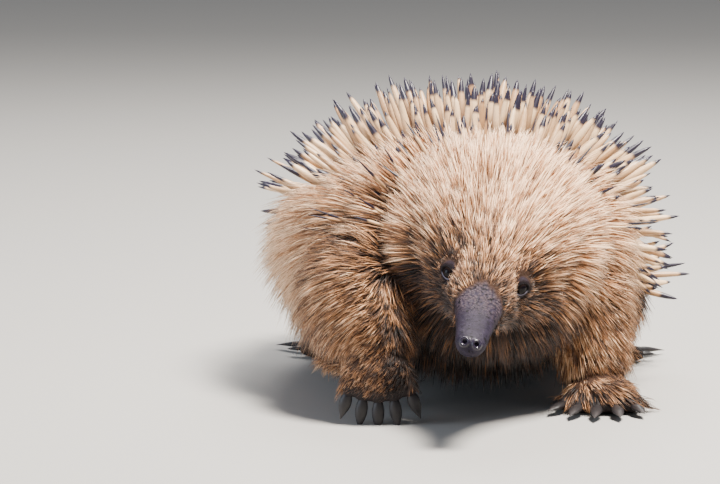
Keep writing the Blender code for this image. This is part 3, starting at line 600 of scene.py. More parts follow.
@dataclass(frozen=True)
class BodyPlan:
    """The whole animal's flesh, in the walking frame."""

    head: HeadPlan = HeadPlan()
    middle: Vector = Vector((0.002, 0.046, 0.090))
    half_length: float = 0.118
    half_width: float = 0.0885
    rise: float = 0.062
    drop: float = 0.061
    fullness: float = 0.80
    belly_narrowing: float = 0.30
    bend: float = 0.014
    lumps: tuple[tuple[Vector, Vector, float], ...] = (
        (Vector((0.006, -0.022, 0.092)), Vector((0.071, 0.052, 0.052)), math.radians(8)),
        (Vector((0.013, -0.070, 0.098)), Vector((0.049, 0.050, 0.042)), math.radians(30)),
    )
    neck_cut: tuple[Vector, Vector] = (Vector((0.010, -0.0600, 0.0900)), Vector((0.06, -0.92, -0.26)))
    limbs: dict[str, Limb] = field(
        default_factory=lambda: {
            "foreleg_right": Limb(
                ((-0.036, -0.036, 0.082), (-0.062, -0.072, 0.064), (-0.054, -0.106, 0.044), (-0.053, -0.116, 0.026)),
                (0.028, 0.024, 0.0165, 0.0135),
            ),
            "foreleg_left": Limb(
                ((0.044, -0.030, 0.078), (0.066, -0.046, 0.054), (0.073, -0.062, 0.027), (0.075, -0.068, 0.006)),
                (0.026, 0.0205, 0.0165, 0.0150),
            ),
            "hindleg_right": Limb(
                ((-0.038, 0.098, 0.074), (-0.066, 0.092, 0.052), (-0.071, 0.104, 0.026), (-0.072, 0.108, 0.006)),
                (0.033, 0.026, 0.0180, 0.0155),
            ),
            "hindleg_left": Limb(
                ((0.050, 0.090, 0.074), (0.080, 0.078, 0.052), (0.085, 0.086, 0.026), (0.086, 0.088, 0.006)),
                (0.033, 0.026, 0.0180, 0.0155),
            ),
            "tail": Limb(
                ((0.014, 0.120, 0.086), (0.018, 0.146, 0.076), (0.021, 0.166, 0.062), (0.023, 0.178, 0.050)),
                (0.030, 0.026, 0.0175, 0.0100),
            ),
        }
    )
    feet: dict[str, Foot] = field(
        default_factory=lambda: {
            "forefoot_right": Foot(
                Vector((-0.053, -0.1170, 0.0290)), Vector((0.0200, 0.0110, 0.0130)), -4, 82,
                (0.0150, 0.0175, 0.0185, 0.0175, 0.0150), (-16, -7, 0, 8, 22),
            ),
            "forefoot_left": Foot(
                Vector((0.076, -0.0740, 0.0095)), Vector((0.0200, 0.0180, 0.0125)), -8, 0,
                (0.0150, 0.0200, 0.0215, 0.0200, 0.0150), (-26, -11, 0, 11, 26),
            ),
            "hindfoot_right": Foot(
                Vector((-0.075, 0.1110, 0.0095)), Vector((0.0180, 0.0180, 0.0125)), -145, 0,
                (0.0100, 0.0130, 0.0210, 0.0290, 0.0100), (-30, -14, 0, 14, 34),
            ),
            "hindfoot_left": Foot(
                Vector((0.087, 0.0910, 0.0095)), Vector((0.0180, 0.0180, 0.0125)), 145, 0,
                (0.0100, 0.0290, 0.0210, 0.0130, 0.0100), (-34, -14, 0, 14, 30),
            ),
        }
    )

    def trunk_place(self, way: Vector) -> Vector:
        """The trunk's skin in that unit direction, whose Z runs along the body."""
        ring = max(1 - way.z**2, 0.0) ** 0.5
        across, up = (way.x / ring, way.y / ring) if ring > 1e-6 else (0.0, 0.0)
        full = ring**self.fullness
        narrow = 1 - self.belly_narrowing * max(-up, 0.0) ** 1.5
        x = self.middle.x + self.bend * way.z * abs(way.z) + across * full * narrow * self.half_width
        z = self.middle.z + up * full * (self.rise if up > 0 else self.drop)
        return Vector((x, self.middle.y + way.z * self.half_length, z))

    def origin(self) -> Vector:
        """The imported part's origin in the walking frame, from where the lowest corner of its beak lies."""
        head = self.head
        corners = [head.matrix @ Vector((0, *head.tip))]
        for y, wide, top, low in head.sections[: head.beak_sections]:
            for number in range(head.beak_sides):
                turn = math.tau * number / head.beak_sides
                up = (top + low) / 2 + (top - low) / 2 * math.sin(turn)
                corners.append(head.matrix @ Vector((wide * math.cos(turn), y, up)))
        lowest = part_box("beak")[0]
        return Vector([min(c[i] for c in corners) - lowest[i] for i in range(2)] + [0.0])

    def neck_share(self, places: Array) -> Array:
        """1 on head and neck and 0 on the trunk, with a smooth change over the shoulders."""
        point, inward = self.neck_cut
        ahead = (places - np.array(point)) @ np.array(inward.normalized())
        return smooth(ahead, -0.026, 0.012)


BODY = BodyPlan()
ORIGIN = BODY.origin()


def finished(form: bmesh.types.BMesh, name: str, material: bpy.types.Material) -> bpy.types.Object:
    """The mesh as a smooth object of the scene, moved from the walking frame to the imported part's.

    Args:
        form: the mesh, in the walking frame; it is freed.
        name: the object's name.
        material: its finish.

    Returns:
        The object.
    """
    mesh = bpy.data.meshes.new(name)
    form.transform(Matrix.Translation(-ORIGIN))
    form.to_mesh(mesh)
    form.free()
    mesh.materials.append(material)
    mesh.shade_smooth()
    made = bpy.data.objects.new(name, mesh)
    bpy.context.scene.collection.objects.link(made)
    return made


def hold(mesh: bpy.types.Mesh, name: str, values: Array) -> None:
    """Keep one value for each of the mesh's corners under that name."""
    attribute = mesh.attributes.new(name, "FLOAT", "POINT")
    attribute.data.foreach_set("value", np.ascontiguousarray(values, dtype=np.float32))


def corners_of(mesh: bpy.types.Mesh) -> tuple[Array, Array]:
    """The places and normals of the mesh's corners, one a row."""
    places = np.empty(len(mesh.vertices) * 3, dtype=np.float64)
    normals = np.empty_like(places)
    mesh.vertices.foreach_get("co", places)
    mesh.vertices.foreach_get("normal", normals)
    return places.reshape(-1, 3), normals.reshape(-1, 3)


# Skin


@dataclass
class Eyeball:
    """One eye, set where the part's eye node is."""

    side: int
    cornea: float = 0.0006
    node: str = field(init=False)
    centre: Vector = field(init=False)
    look: Vector = field(init=False)

    def __post_init__(self) -> None:
        """Find the eye's node, its middle in the walking frame and the way it looks."""
        self.node = "eye_left" if self.side > 0 else "eye_right"
        low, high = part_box(self.node)
        self.centre = (Vector(low) + Vector(high)) / 2 + ORIGIN
        way = BODY.head.eye_look
        self.look = pointing(BODY.head.matrix.to_3x3() @ Vector((way.x * self.side, way.y, way.z)))

    def build(self, material: bpy.types.Material) -> bpy.types.Object:
        """The eyeball with its clear bulge in front.

        Args:
            material: the eye's finish.

        Returns:
            The piece, riding on the body and standing for its node.
        """
        facing = self.look.to_track_quat("Z", "Y").to_matrix()
        radius = BODY.head.eye_radius

        def place(way: Vector) -> Vector:
            """Where the eye's surface lies in that direction."""
            bulge = self.cornea * max(way.z - 0.62, 0.0) / 0.38
            return self.centre + facing @ (way * (radius + bulge))

        form = shaped_ball(48, 36, place)
        outs = [math.acos(min(max((corner.co - self.centre).normalized().dot(self.look), -1), 1)) for corner in form.verts]
        made = finished(form, self.node.replace("eye", "eyeball"), material)
        hold(made.data, "out", np.array(outs) / math.radians(75))
        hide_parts(self.node)
        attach(made, "root")
        return made


EYES = (Eyeball(-1), Eyeball(1))


@dataclass
class Skin:
    """One skin over the whole body, with nostrils, mouth, lids and toes modelled in it."""

    grain: float = 0.0024
    smoothing: int = 6
    face_reach: float = 0.016
    nostril_radius: float = 0.0018
    nostril_depth: float = 0.0022
    nostril_rim: float = 0.0007
    lid_width: float = 0.0014
    lid_height: float = 0.0007
    eye_open: tuple[float, float, float] = (0.0041, 0.0027, 0.0029)
    mesh: bpy.types.Mesh | None = None

    def forms(self) -> list[bmesh.types.BMesh]:
        """Every lump of flesh, from trunk to toes."""
        made = [shaped_ball(72, 48, BODY.trunk_place)]
        for middle, radii, pitch in BODY.lumps:
            made.append(ellipsoid(middle, radii, Matrix.Rotation(pitch, 3, "X")))
        made.append(BODY.head.form())
        made += [limb.form() for limb in BODY.limbs.values()]
        for foot in BODY.feet.values():
            turn = Matrix.Rotation(math.radians(foot.heading), 3, "Z")
            made.append(ellipsoid(foot.at, foot.radii, turn))
            for root, _, _, end, _ in foot.toes():
                radius = foot.toe_radius
                middle = (root + end) / 2
                made.append(tube((root, middle, end), (radius, radius * 1.02, radius * 0.84), 20))
        return made

    def run_together(self) -> bmesh.types.BMesh:
        """The lumps fused into one closed skin and smoothed."""
        whole = bmesh.new()
        for form in self.forms():
            mesh = bpy.data.meshes.new("lump")
            form.to_mesh(mesh)
            form.free()
            whole.from_mesh(mesh)
            bpy.data.meshes.remove(mesh)
        mesh = bpy.data.meshes.new("flesh")
        whole.to_mesh(mesh)
        whole.free()
        flesh = bpy.data.objects.new("flesh", mesh)
        bpy.context.scene.collection.objects.link(flesh)
        remesh = flesh.modifiers.new("fuse", "REMESH")
        remesh.mode = "VOXEL"
        remesh.voxel_size = self.grain
        soften = flesh.modifiers.new("soften", "SMOOTH")
        soften.factor = 0.5
        soften.iterations = self.smoothing
        graph = bpy.context.evaluated_depsgraph_get()
        fused = bpy.data.meshes.new_from_object(flesh.evaluated_get(graph))
        bpy.data.objects.remove(flesh)
        form = bmesh.new()
        form.from_mesh(fused)
        low = [corner for corner in form.verts if corner.co.z < 0.0]
        for corner in low:
            corner.co.z = 0.0
        return form

    def refine(self, form: bmesh.types.BMesh, near: Callable[[Vector], bool], cuts: int = 1) -> None:
        """Split the faces where near holds for an edge's two ends."""
        edges = [edge for edge in form.edges if near(edge.verts[0].co) and near(edge.verts[1].co)]
        bmesh.ops.subdivide_edges(form, edges=edges, cuts=cuts, use_grid_fill=True, smooth=0.0)

    def settle_on_head(self, form: bmesh.types.BMesh) -> None:
        """Lay the face's corners on the head's exact form, with a smooth change behind the eyes."""
        exact = BODY.head.form()
        tree = BVHTree.FromBMesh(exact)
        exact.free()
        inverse = BODY.head.matrix.inverted()
        for corner in form.verts:
            own = inverse @ corner.co
            if own.y > self.face_reach or own.length > 0.09:
                continue
            place, _, _, off = tree.find_nearest(corner.co)
            if place is None or off > 0.003:
                continue
            share = min((self.face_reach - own.y) / 0.014, 1.0)
            corner.co = corner.co.lerp(place, share * share * (3 - 2 * share))

    def model_face(self, form: bmesh.types.BMesh, eyes: Sequence[Eyeball]) -> None:
        """Raise the lids and nostrils and sink the mouth's line.

        Args:
            form: the skin, refined over the face.
            eyes: the eyeballs that the lids lie on.
        """
        head = BODY.head
        matrix, inverse = head.matrix, head.matrix.inverted()
        turn = matrix.to_3x3()
        form.normal_update()
        moves = {}
        for corner in form.verts:
            own = inverse @ corner.co
            if own.y < -0.060:
                moves[corner] = self.tip_move(own, inverse.to_3x3() @ corner.normal)
                moves[corner] = turn @ moves[corner]
                continue
            for eye in eyes:
                if (corner.co - eye.centre).length < 0.0125:
                    moves[corner] = self.lid_move(corner.co, eye)
        for corner, move in moves.items():
            corner.co += move

    def tip_move(self, own: Vector, normal: Vector) -> Vector:
        """How a corner of the beak's tip moves for nostrils and mouth, in the head's frame."""
        move = Vector((0, 0, 0))
        for side in (-1, 1):
            off = own - Vector((BODY.head.nostril.x * side, *BODY.head.nostril.yz))
            off -= normal * off.dot(normal)
            across = off.length / self.nostril_radius
            pit = math.exp(-((across / 0.62) ** 4))
            rim = math.exp(-(((across - 1.15) / 0.42) ** 2))
            move += normal * (rim * self.nostril_rim - pit * self.nostril_depth)
        low = own - BODY.head.mouth
        if abs(low.x) < 0.0078 and own.z < -0.002:
            line = math.exp(-((low.z + 0.0004 * math.cos(low.x / 0.004)) / 0.0005) ** 2)
            move -= normal * line * 0.0012 * (1 - (low.x / 0.0078) ** 2)
        return move

    def lid_move(self, place: Vector, eye: Eyeball) -> Vector:
        """How a corner near an eye moves to make the lids: raised round the opening, sunk behind it."""
        look = eye.look
        up = pointing(BODY.head.matrix.to_3x3() @ Vector((0, 0, 1)))
        side = up.cross(look).normalized()
        up = look.cross(side)
        off = place - eye.centre
        across, rise, out = off.dot(side), off.dot(up), off.dot(look)
        wide, upper, lower = self.eye_open
        tall = upper if rise > 0 else lower
        ring = math.hypot(across / wide, rise / tall)
        distance = math.hypot(across, rise)
        radius = BODY.head.eye_radius
        ball = math.sqrt(max(radius**2 - min(distance, radius) ** 2, 0.0))
        if ring < 1.0:
            target = ball - 0.0010
            return look * (target - out)
        beyond = (ring - 1.0) * (wide + tall) / 2
        edge = math.sqrt(max(radius**2 - ((wide + tall) / 2) ** 2, 0.0))
        lid = edge + self.lid_height * math.sin(min(beyond / self.lid_width, 1.0) * math.pi * 0.75 + 0.35)
        blend = 1 - min(max((beyond - self.lid_width) / 0.0042, 0.0), 1.0)
        blend = blend * blend * (3 - 2 * blend)
        return look * (max(lid, out) - out) * blend if out < lid else look * (lid - out) * blend * 0.6

    def masks(self, mesh: bpy.types.Mesh, eyes: Sequence[Eyeball], coat: "Coat") -> None:
        """Hold on the mesh what the skin's finish reads.

        Args:
            mesh: the skin's mesh, in the walking frame.
            eyes: the eyeballs.
            coat: gives the fur's markings and where it grows.
        """
        places, normals = corners_of(mesh)
        own = BODY.head.own(places)
        # The coat's markings with painted light and shade, for the skin under the fur.
        hold(mesh, "mark", coat.mark(places, normals))
        hold(mesh, "furred", coat.furred(places))
        root = smooth(own[:, 1], -0.052, -0.032) * smooth(own[:, 1], -0.008, -0.020)
        hold(mesh, "scaly", root * smooth(own[:, 2], -0.010, 0.004))
        wet = np.zeros(len(places))
        for side in (-1, 1):
            at = np.array((BODY.head.nostril.x * side, *BODY.head.nostril.yz))
            wet = np.maximum(wet, smooth(np.linalg.norm(own - at, axis=1), 0.0040, 0.0022))
        hold(mesh, "wet", wet)
        lid, lash, rim = np.zeros((3, len(places)))
        up = np.array(pointing(BODY.head.matrix.to_3x3() @ Vector((0, 0, 1))))
        for eye in eyes:
            off = places - np.array(eye.centre)
            flat = off - np.outer(off @ np.array(eye.look), np.array(eye.look))
            distance = np.hypot(np.linalg.norm(flat, axis=1), 0.75 * (flat @ up))
            near = np.linalg.norm(off, axis=1) < 0.013
            lid = np.maximum(lid, near * smooth(distance, 0.0085, 0.0055))
            lash = np.maximum(lash, near * smooth(distance, 0.0060, 0.0048))
            below = smooth(flat @ up, -0.0012, -0.0026)
            rim = np.maximum(rim, near * below * smooth(distance, 0.0050, 0.0045) * smooth(distance, 0.0037, 0.0040))
        hold(mesh, "lid", lid)
        hold(mesh, "lash", lash)
        hold(mesh, "rim", rim)
        hold(mesh, "paw", smooth(np.linalg.norm(own - np.array((0, -0.030, 0)), axis=1), 0.050, 0.060))

    def build(self, eyes: Sequence[Eyeball], coat: "Coat", material: bpy.types.Material) -> bpy.types.Object:
        """The whole skin.

        Args:
            eyes: the eyeballs that the lids lie on.
            coat: the fur's plan.
            material: the skin's finish.

        Returns:
            The piece, which stands for every node of flesh.
        """
        form = self.run_together()
        head = BODY.head
        inverse = head.matrix.inverted()
        nostrils = [head.matrix @ Vector((head.nostril.x * side, *head.nostril.yz)) for side in (-1, 1)]

        def on_beak(place: Vector) -> bool:
            """Whether the place is on the bare beak."""
            own = inverse @ place
            return own.y < -0.014 and own.length < 0.09

        def at_eye(place: Vector) -> bool:
            """Whether the place is on or by the lids."""
            return any((place - eye.centre).length < 0.0125 for eye in eyes)

        def at_lid(place: Vector) -> bool:
            """Whether the place is on the lids."""
            return any((place - eye.centre).length < 0.0085 for eye in eyes)

        def at_nostril(place: Vector) -> bool:
            """Whether the place is by a nostril or the mouth."""
            own = inverse @ place
            return own.y < -0.064 or any((place - nostril).length < 0.006 for nostril in nostrils)

        def on_foot(place: Vector) -> bool:
            """Whether the place is on a paw."""
            return any((place - foot.at).length < 0.034 for foot in BODY.feet.values())

        self.refine(form, lambda place: on_beak(place) or at_eye(place) or on_foot(place))
        self.refine(form, lambda place: on_beak(place) or at_eye(place))
        self.settle_on_head(form)
        self.refine(form, lambda place: at_nostril(place) or at_lid(place))
        self.settle_on_head(form)
        self.model_face(form, eyes)
        made = finished(form, "skin", material)
        made.data.transform(Matrix.Translation(ORIGIN))
        self.masks(made.data, eyes, coat)
        self.mesh = made.data.copy()
        made.data.transform(Matrix.Translation(-ORIGIN))
        flesh = ["head", "neck", "torso", "tail", "beak", "ear_left", "ear_right"]
        flesh += [name for name in BODY.limbs if name != "tail"]
        flesh += list(BODY.feet)
        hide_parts(*flesh)
        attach(made, "root")
        return made


# Claws


@dataclass
class Claws:
    """The five claws of one foot, flat and gently curled, each rooted in its toe."""

    name: str
    foot: Foot
    width: float = 0.0072
    thickness: float = 0.0038
    curl: float = 0.10
    sunk: float = 0.0020
    short: float = 0.0125
    short_share: float = 0.8

    def claw(self, way: Vector, side: Vector, start: Vector, length: float) -> tuple[bmesh.types.BMesh, list[float]]:
        """One claw.

        Args:
            way: where it points.
            side: across it.
            start: where it leaves the toe.
            length: how far it stands out.

        Returns:
            Its mesh, and each corner's share of its length.
        """
        down = pointing(side.cross(way))
        thin = 1.0 if length > self.short else self.short_share
        shares = []
        profile = ((0.80, 0.95, 0), (0.96, 1.0, 0), (1.0, 0.92, 0), (0.86, 0.70, 0), (0.52, 0.40, 0), (0.16, 0.12, 0))

        def place(direction: Vector) -> Vector:
            """Where the claw's surface lies in that direction."""
            share = (1 - direction.z) / 2
            wide, thick, _ = along_curve(profile, share)
            ring = max(1 - direction.z**2, 0.0) ** 0.25
            flat = pointing((direction.x, direction.y, 0)) if abs(direction.z) < 0.9999 else Vector((0, 0, 0))
            ridge = 1.0 + 0.18 * (1 - abs(flat.x)) * (flat.y < 0)
            centre = start + way * (length * share - self.sunk * (1 - share)) + down * self.curl * length * share**2
            half_width, half_thick = self.width / 2 * wide * thin, self.thickness / 2 * thick * thin * ridge
            return centre + side * flat.x * half_width * ring + down * flat.y * half_thick * ring

        form = shaped_ball(20, 26, place)
        for corner in form.verts:
            shares.append((corner.co - start).dot(way) / length)
        return form, shares

    def build(self, material: bpy.types.Material) -> bpy.types.Object:
        """All five claws as one piece.

        Args:
            material: the horn's finish.

        Returns:
            The piece, which stands for the foot's claw nodes.
        """
        whole = bmesh.new()
        shares, grooves = [], []
        for root, way, side, end, length in self.foot.toes():
            form, own = self.claw(way, side, end, length)
            grooves += [0.5 + 0.5 * math.sin((corner.co - end).dot(side) * 5200) for corner in form.verts]
            shares += own
            mesh = bpy.data.meshes.new("claw")
            form.to_mesh(mesh)
            form.free()
            whole.from_mesh(mesh)
            bpy.data.meshes.remove(mesh)
        for corner in whole.verts:
            corner.co.z = max(corner.co.z, 0.0)
        made = finished(whole, self.name + "_claws", material)
        hold(made.data, "along", np.array(shares))
        hold(made.data, "groove", np.array(grooves))
        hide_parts(*[f"{self.name}_claw_{number}" for number in range(1, 6)])
        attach(made, "root")
        return made


# Fur and spines


@dataclass
class Roots:
    """Where hairs or spines grow, one a row: place, normal, and the way they lie along the skin."""

    places: Array
    normals: Array
    lies: Array

    def taken(self, chosen: Array) -> "Roots":
        """Only the chosen rows."""
        return Roots(self.places[chosen], self.normals[chosen], self.lies[chosen])


@dataclass
class Tapers:
    """Many tapered hairs or spines of one build, made as one joined mesh.

    Each follows a bent line from its root, through a middle that its lift sets, to its tip.
    """

    sides: int
    rings: tuple[float, ...]
    profile: tuple[float, ...]
    flat: float

    @property
    def triangles(self) -> int:
        """How many triangles one taper has."""
        return (len(self.rings) - 1) * self.sides * 2 + self.sides + self.sides - 2

    def lines(self, start: Array, middle: Array, tip: Array) -> tuple[Array, Array]:
        """Places and ways at each ring, with the tip's place last, for every taper."""
        t = np.array((*self.rings, 1.0))[None, :, None]
        start, middle, tip = start[:, None], middle[:, None], tip[:, None]
        places = start * (1 - t) ** 2 + middle * 2 * t * (1 - t) + tip * t**2
        ways = (middle - start) * 2 * (1 - t) + (tip - middle) * 2 * t
        return places, unit(ways)

    def build(
        self, name: str, line: tuple[Array, Array, Array], widths: Array, across: Array, unwrap: Array,
        values: dict[str, Array], material: bpy.types.Material,
    ) -> bpy.types.Object:
        """Make the joined mesh.

        Args:
            name: the piece's name.
            line: start, middle and tip of every taper, in the walking frame.
            widths: the widest radius of each.
            across: the way that each one's flat side faces along.
            unwrap: the root's place on the unwrap of the skin, from 0 to 1.
            values: what the mesh holds for each taper.
            material: its finish.

        Returns:
            The object.
        """
        count, rings, sides = len(widths), len(self.rings), self.sides
        places, ways = self.lines(*line)
        side = unit(across[:, None] - ways * np.sum(across[:, None] * ways, axis=2, keepdims=True))
        up = np.cross(ways, side)
        turns = math.tau * np.arange(sides) / sides
        radii = widths[:, None] * np.array(self.profile)[None]
        ring = (
            places[:, :rings, None]
            + side[:, :rings, None] * (radii[:, :, None] * np.cos(turns))[..., None]
            + up[:, :rings, None] * (radii[:, :, None] * np.sin(turns) * self.flat)[..., None]
        )
        block = rings * sides + 1
        corners = np.concatenate((ring.reshape(count, rings * sides, 3), places[:, rings:]), axis=1)
        corners = corners.reshape(-1, 3) - np.array(ORIGIN)
        quads, tips = [], []
        for level in range(rings - 1):
            for i in range(sides):
                j = (i + 1) % sides
                low, high = level * sides, (level + 1) * sides
                quads.append((low + i, low + j, high + j, high + i))
        last = (rings - 1) * sides
        for i in range(sides):
            tips.append((last + i, last + (i + 1) % sides, rings * sides))
        cap = tuple(range(sides - 1, -1, -1))
        loops = np.array([v for face in (*quads, *tips, cap) for v in face])
        totals = np.array([4] * len(quads) + [3] * len(tips) + [sides])
        all_loops = (loops[None] + np.arange(count)[:, None] * block).ravel()
        starts = np.concatenate(((0,), np.cumsum(totals)[:-1]))
        all_starts = (starts[None] + np.arange(count)[:, None] * len(loops)).ravel()
        mesh = bpy.data.meshes.new(name)
        mesh.vertices.add(len(corners))
        mesh.vertices.foreach_set("co", corners.ravel().astype(np.float32))
        mesh.loops.add(len(all_loops))
        mesh.loops.foreach_set("vertex_index", all_loops.astype(np.int32))
        mesh.polygons.add(len(all_starts))
        mesh.polygons.foreach_set("loop_start", all_starts.astype(np.int32))
        mesh.update(calc_edges=True)
        mesh.validate()
        share = np.append(np.repeat(np.array(self.rings), sides), 1.0)
        turn = np.append(np.tile(np.arange(sides) / max(sides - 1, 1), rings), 0.5)
        patch = np.stack((turn - 0.5, share - 0.5), axis=1) * 0.003
        flat = (unwrap[:, None] + patch[None]).reshape(-1, 2)
        layer = mesh.uv_layers.new(name="OFBake")
        layer.uv.foreach_set("vector", flat[all_loops].ravel().astype(np.float32))
        hold(mesh, "along", np.tile(share, count))
        for key, value in values.items():
            hold(mesh, key, np.repeat(value, block))
        mesh.materials.append(material)
        mesh.shade_smooth()
        made = bpy.data.objects.new(name, mesh)
        bpy.context.scene.collection.objects.link(made)
        return made


def unwrapped(places: Array) -> Array:
    """The roots' places on an unwrap of their region of skin: the turn round it, and the way along it."""
    middle = places.mean(axis=0)
    _, _, axes = np.linalg.svd(places[:: max(len(places) // 800, 1)] - middle, full_matrices=False)
    own = (places - middle) @ axes.T
    inner = own - np.array((0.0, 0.0, -0.6 * np.abs(own[:, 2]).max()))
    turn = np.arctan2(inner[:, 1], inner[:, 2])
    flat = np.stack((turn, own[:, 0]), axis=1)
    low, high = flat.min(axis=0), flat.max(axis=0)
    return 0.01 + 0.98 * (flat - low) / np.maximum(high - low, 1e-6)


class Region(Enum):
    """The pieces that the coat is made in."""

    FACE = "face"
    CROWN = "crown"
    NECK_LEFT = "neck_left"
    NECK_RIGHT = "neck_right"
    FLANK_LEFT = "flank_left"
    FLANK_RIGHT = "flank_right"
    BACK = "back"
    BELLY = "belly"
    FORELEG_LEFT = "foreleg_left"
    FORELEG_RIGHT = "foreleg_right"
    HINDLEG_LEFT = "hindleg_left"
    HINDLEG_RIGHT = "hindleg_right"
    TAIL = "tail"


LONG_HAIRED = (
    Region.CROWN, Region.NECK_LEFT, Region.NECK_RIGHT, Region.FLANK_LEFT, Region.FLANK_RIGHT,
    Region.FORELEG_LEFT, Region.FORELEG_RIGHT,
)


LEG_LIES = {
    "foreleg_right": (-0.75, 0.10, -1.0),
    "foreleg_left": (0.50, 0.10, -1.0),
    "hindleg_right": (-0.35, 0.50, -1.0),
    "hindleg_left": (0.35, 0.50, -1.0),
}


@dataclass
class Coat:
    """The plan of the coat: where fur and spines grow, how they lie, how long they are and their markings, with
    painted light and shade.
    """

    spine_front: float = -0.047
    spine_line_left: float = 0.050
    spine_line_right: float = 0.116
    spine_line_fall: float = 0.30

    def furred(self, places: Array) -> Array:
        """How furred the skin is: 0 on beak, lids and the paws' undersides, and 1 in the coat."""
        own = BODY.head.own(places)
        edge = -0.0238 - 0.0095 * np.clip(np.abs(own[:, 0]) / 0.014, 0, 1) - 0.004 * (own[:, 2] < 0)
        edge += 0.0007 * np.sin(own[:, 0] * 1300)
        head = smooth(own[:, 1] - edge, -0.0005, 0.0055)
        near_head = np.linalg.norm(own - np.array((0, -0.045, 0)), axis=1) < 0.036
        grown = np.where(near_head, head, 1.0)
        for eyeball in EYES:
            eye = np.array(eyeball.centre)
            grown = grown * smooth(np.linalg.norm(places - eye, axis=1), 0.0058, 0.0074)
        for foot in BODY.feet.values():
            toes = np.array([end for _, _, _, end, _ in foot.toes()])
            near = np.linalg.norm(places[:, None] - toes[None], axis=2).min(axis=1)
            sole = smooth(places[:, 2], 0.0035, 0.0075) if not foot.slope else 1.0
            on_paw = np.linalg.norm(places - np.array(foot.at), axis=1) < 0.036
            grown = np.where(on_paw, grown * smooth(near, 0.0060, 0.0090) * sole, grown)
        return grown

    def bears_spines(self, places: Array, normals: Array) -> Array:
        """Whether the trunk bears spines at each place."""
        x, y, z = places.T
        right = np.clip((0.03 - x) / 0.06, 0.0, 1.0)
        line = self.spine_line_left + (self.spine_line_right - self.spine_line_left) * right
        line = np.maximum(line - self.spine_line_fall * np.maximum(y + 0.02, 0.0) * right, self.spine_line_left)
        behind = y > self.spine_front + np.maximum(0.150 - z, 0.0) * 0.20
        return behind & (z > line) & (normals[:, 2] > -0.45)

    def limb_shares(self, places: Array) -> dict[str, tuple[Array, Array]]:
        """For each limb, how much a place belongs to it and how far down it is."""
        found = {}
        for name, limb in BODY.limbs.items():
            off, down = limb.depth(places)
            found[name] = (smooth(off, 0.014, 0.001) * smooth(down, 0.04, 0.45), down)
        return found

    def lie(self, places: Array, normals: Array) -> Array:
        """The way the coat lies at each place, along the skin."""
        matrix = BODY.head.matrix
        face = np.array(matrix @ Vector((0, BODY.head.beak_root, 0)))
        apart = np.linalg.norm(places - face, axis=1)
        sag = smooth(places[:, 2], 0.115, 0.065) * smooth(apart, 0.045, 0.085)
        out = unit(places - face) + np.outer(sag, (0.0, 0.0, -0.8))
        low = np.clip((0.135 - places[:, 2]) / 0.07, 0.0, 1.0)
        trunk = np.stack((0.25 * normals[:, 0], 1.0 - 0.45 * low, -0.15 - 0.95 * low), axis=1)
        neck = BODY.neck_share(places)[:, None]
        way = unit(out) * neck + unit(trunk) * (1 - neck)
        for name, (share, _) in self.limb_shares(places).items():
            if name in LEG_LIES:
                down = unit(np.array(LEG_LIES[name]) + 0.25 * normals)
                way = way * (1 - share[:, None]) + down * share[:, None]
        for eyeball in EYES:
            eye = np.array(eyeball.centre)
            off = places - eye
            near = np.exp(-((np.linalg.norm(off, axis=1) / 0.0085) ** 2))[:, None]
            way = unit(way) + unit(off) * near * 1.4
        way = way - normals * np.sum(way * normals, axis=1, keepdims=True)
        return unit(way)

    def length(self, places: Array, normals: Array) -> Array:
        """The hair's length at each place."""
        own = BODY.head.own(places)
        from_beak = np.linalg.norm(own - np.array((0, BODY.head.beak_root, 0)), axis=1)
        head = np.interp(
            from_beak, (0.008, 0.018, 0.036, 0.060, 0.085, 0.110), (0.0050, 0.0110, 0.0190, 0.0255, 0.030, 0.034)
        )
        trunk = np.interp(places[:, 2], (0.030, 0.055, 0.075, 0.110), (0.025, 0.034, 0.042, 0.038))
        trunk += 0.010 * smooth(places[:, 0], -0.03, -0.07) * smooth(places[:, 2], 0.05, 0.075)
        trunk = np.where(self.bears_spines(places, normals), 0.0100, trunk)
        neck = BODY.neck_share(places)
        long = head * neck + trunk * (1 - neck)
        for name, (share, down) in self.limb_shares(places).items():
            upper = 0.020 if name == "foreleg_left" else 0.026
            own_length = np.interp(down, (0.2, 0.6, 1.0), (upper, 0.019, 0.011))
            if name == "tail":
                own_length = np.interp(down, (0.2, 1.0), (0.016, 0.012))
            long = long * (1 - share) + own_length * share
        for eyeball in EYES:
            eye = np.array(eyeball.centre)
            off = np.linalg.norm(places - eye, axis=1)
            eye_aside = abs(BODY.head.own(eye[None])[0, 0])
            between = smooth(np.abs(own[:, 0]), eye_aside + 0.003, eye_aside - 0.002) * smooth(off, 0.021, 0.013)
            short = np.minimum(long, 0.0018 + 0.70 * np.maximum(off - 0.0060, 0.0))
            long = long * (0.34 + 0.66 * smooth(off, 0.006, 0.018)) * (1 - between) + short * between
        for foot in BODY.feet.values():
            off = np.linalg.norm(places - np.array(foot.at), axis=1)
            long = long * (0.50 + 0.50 * smooth(off, 0.016, 0.034))
        return long

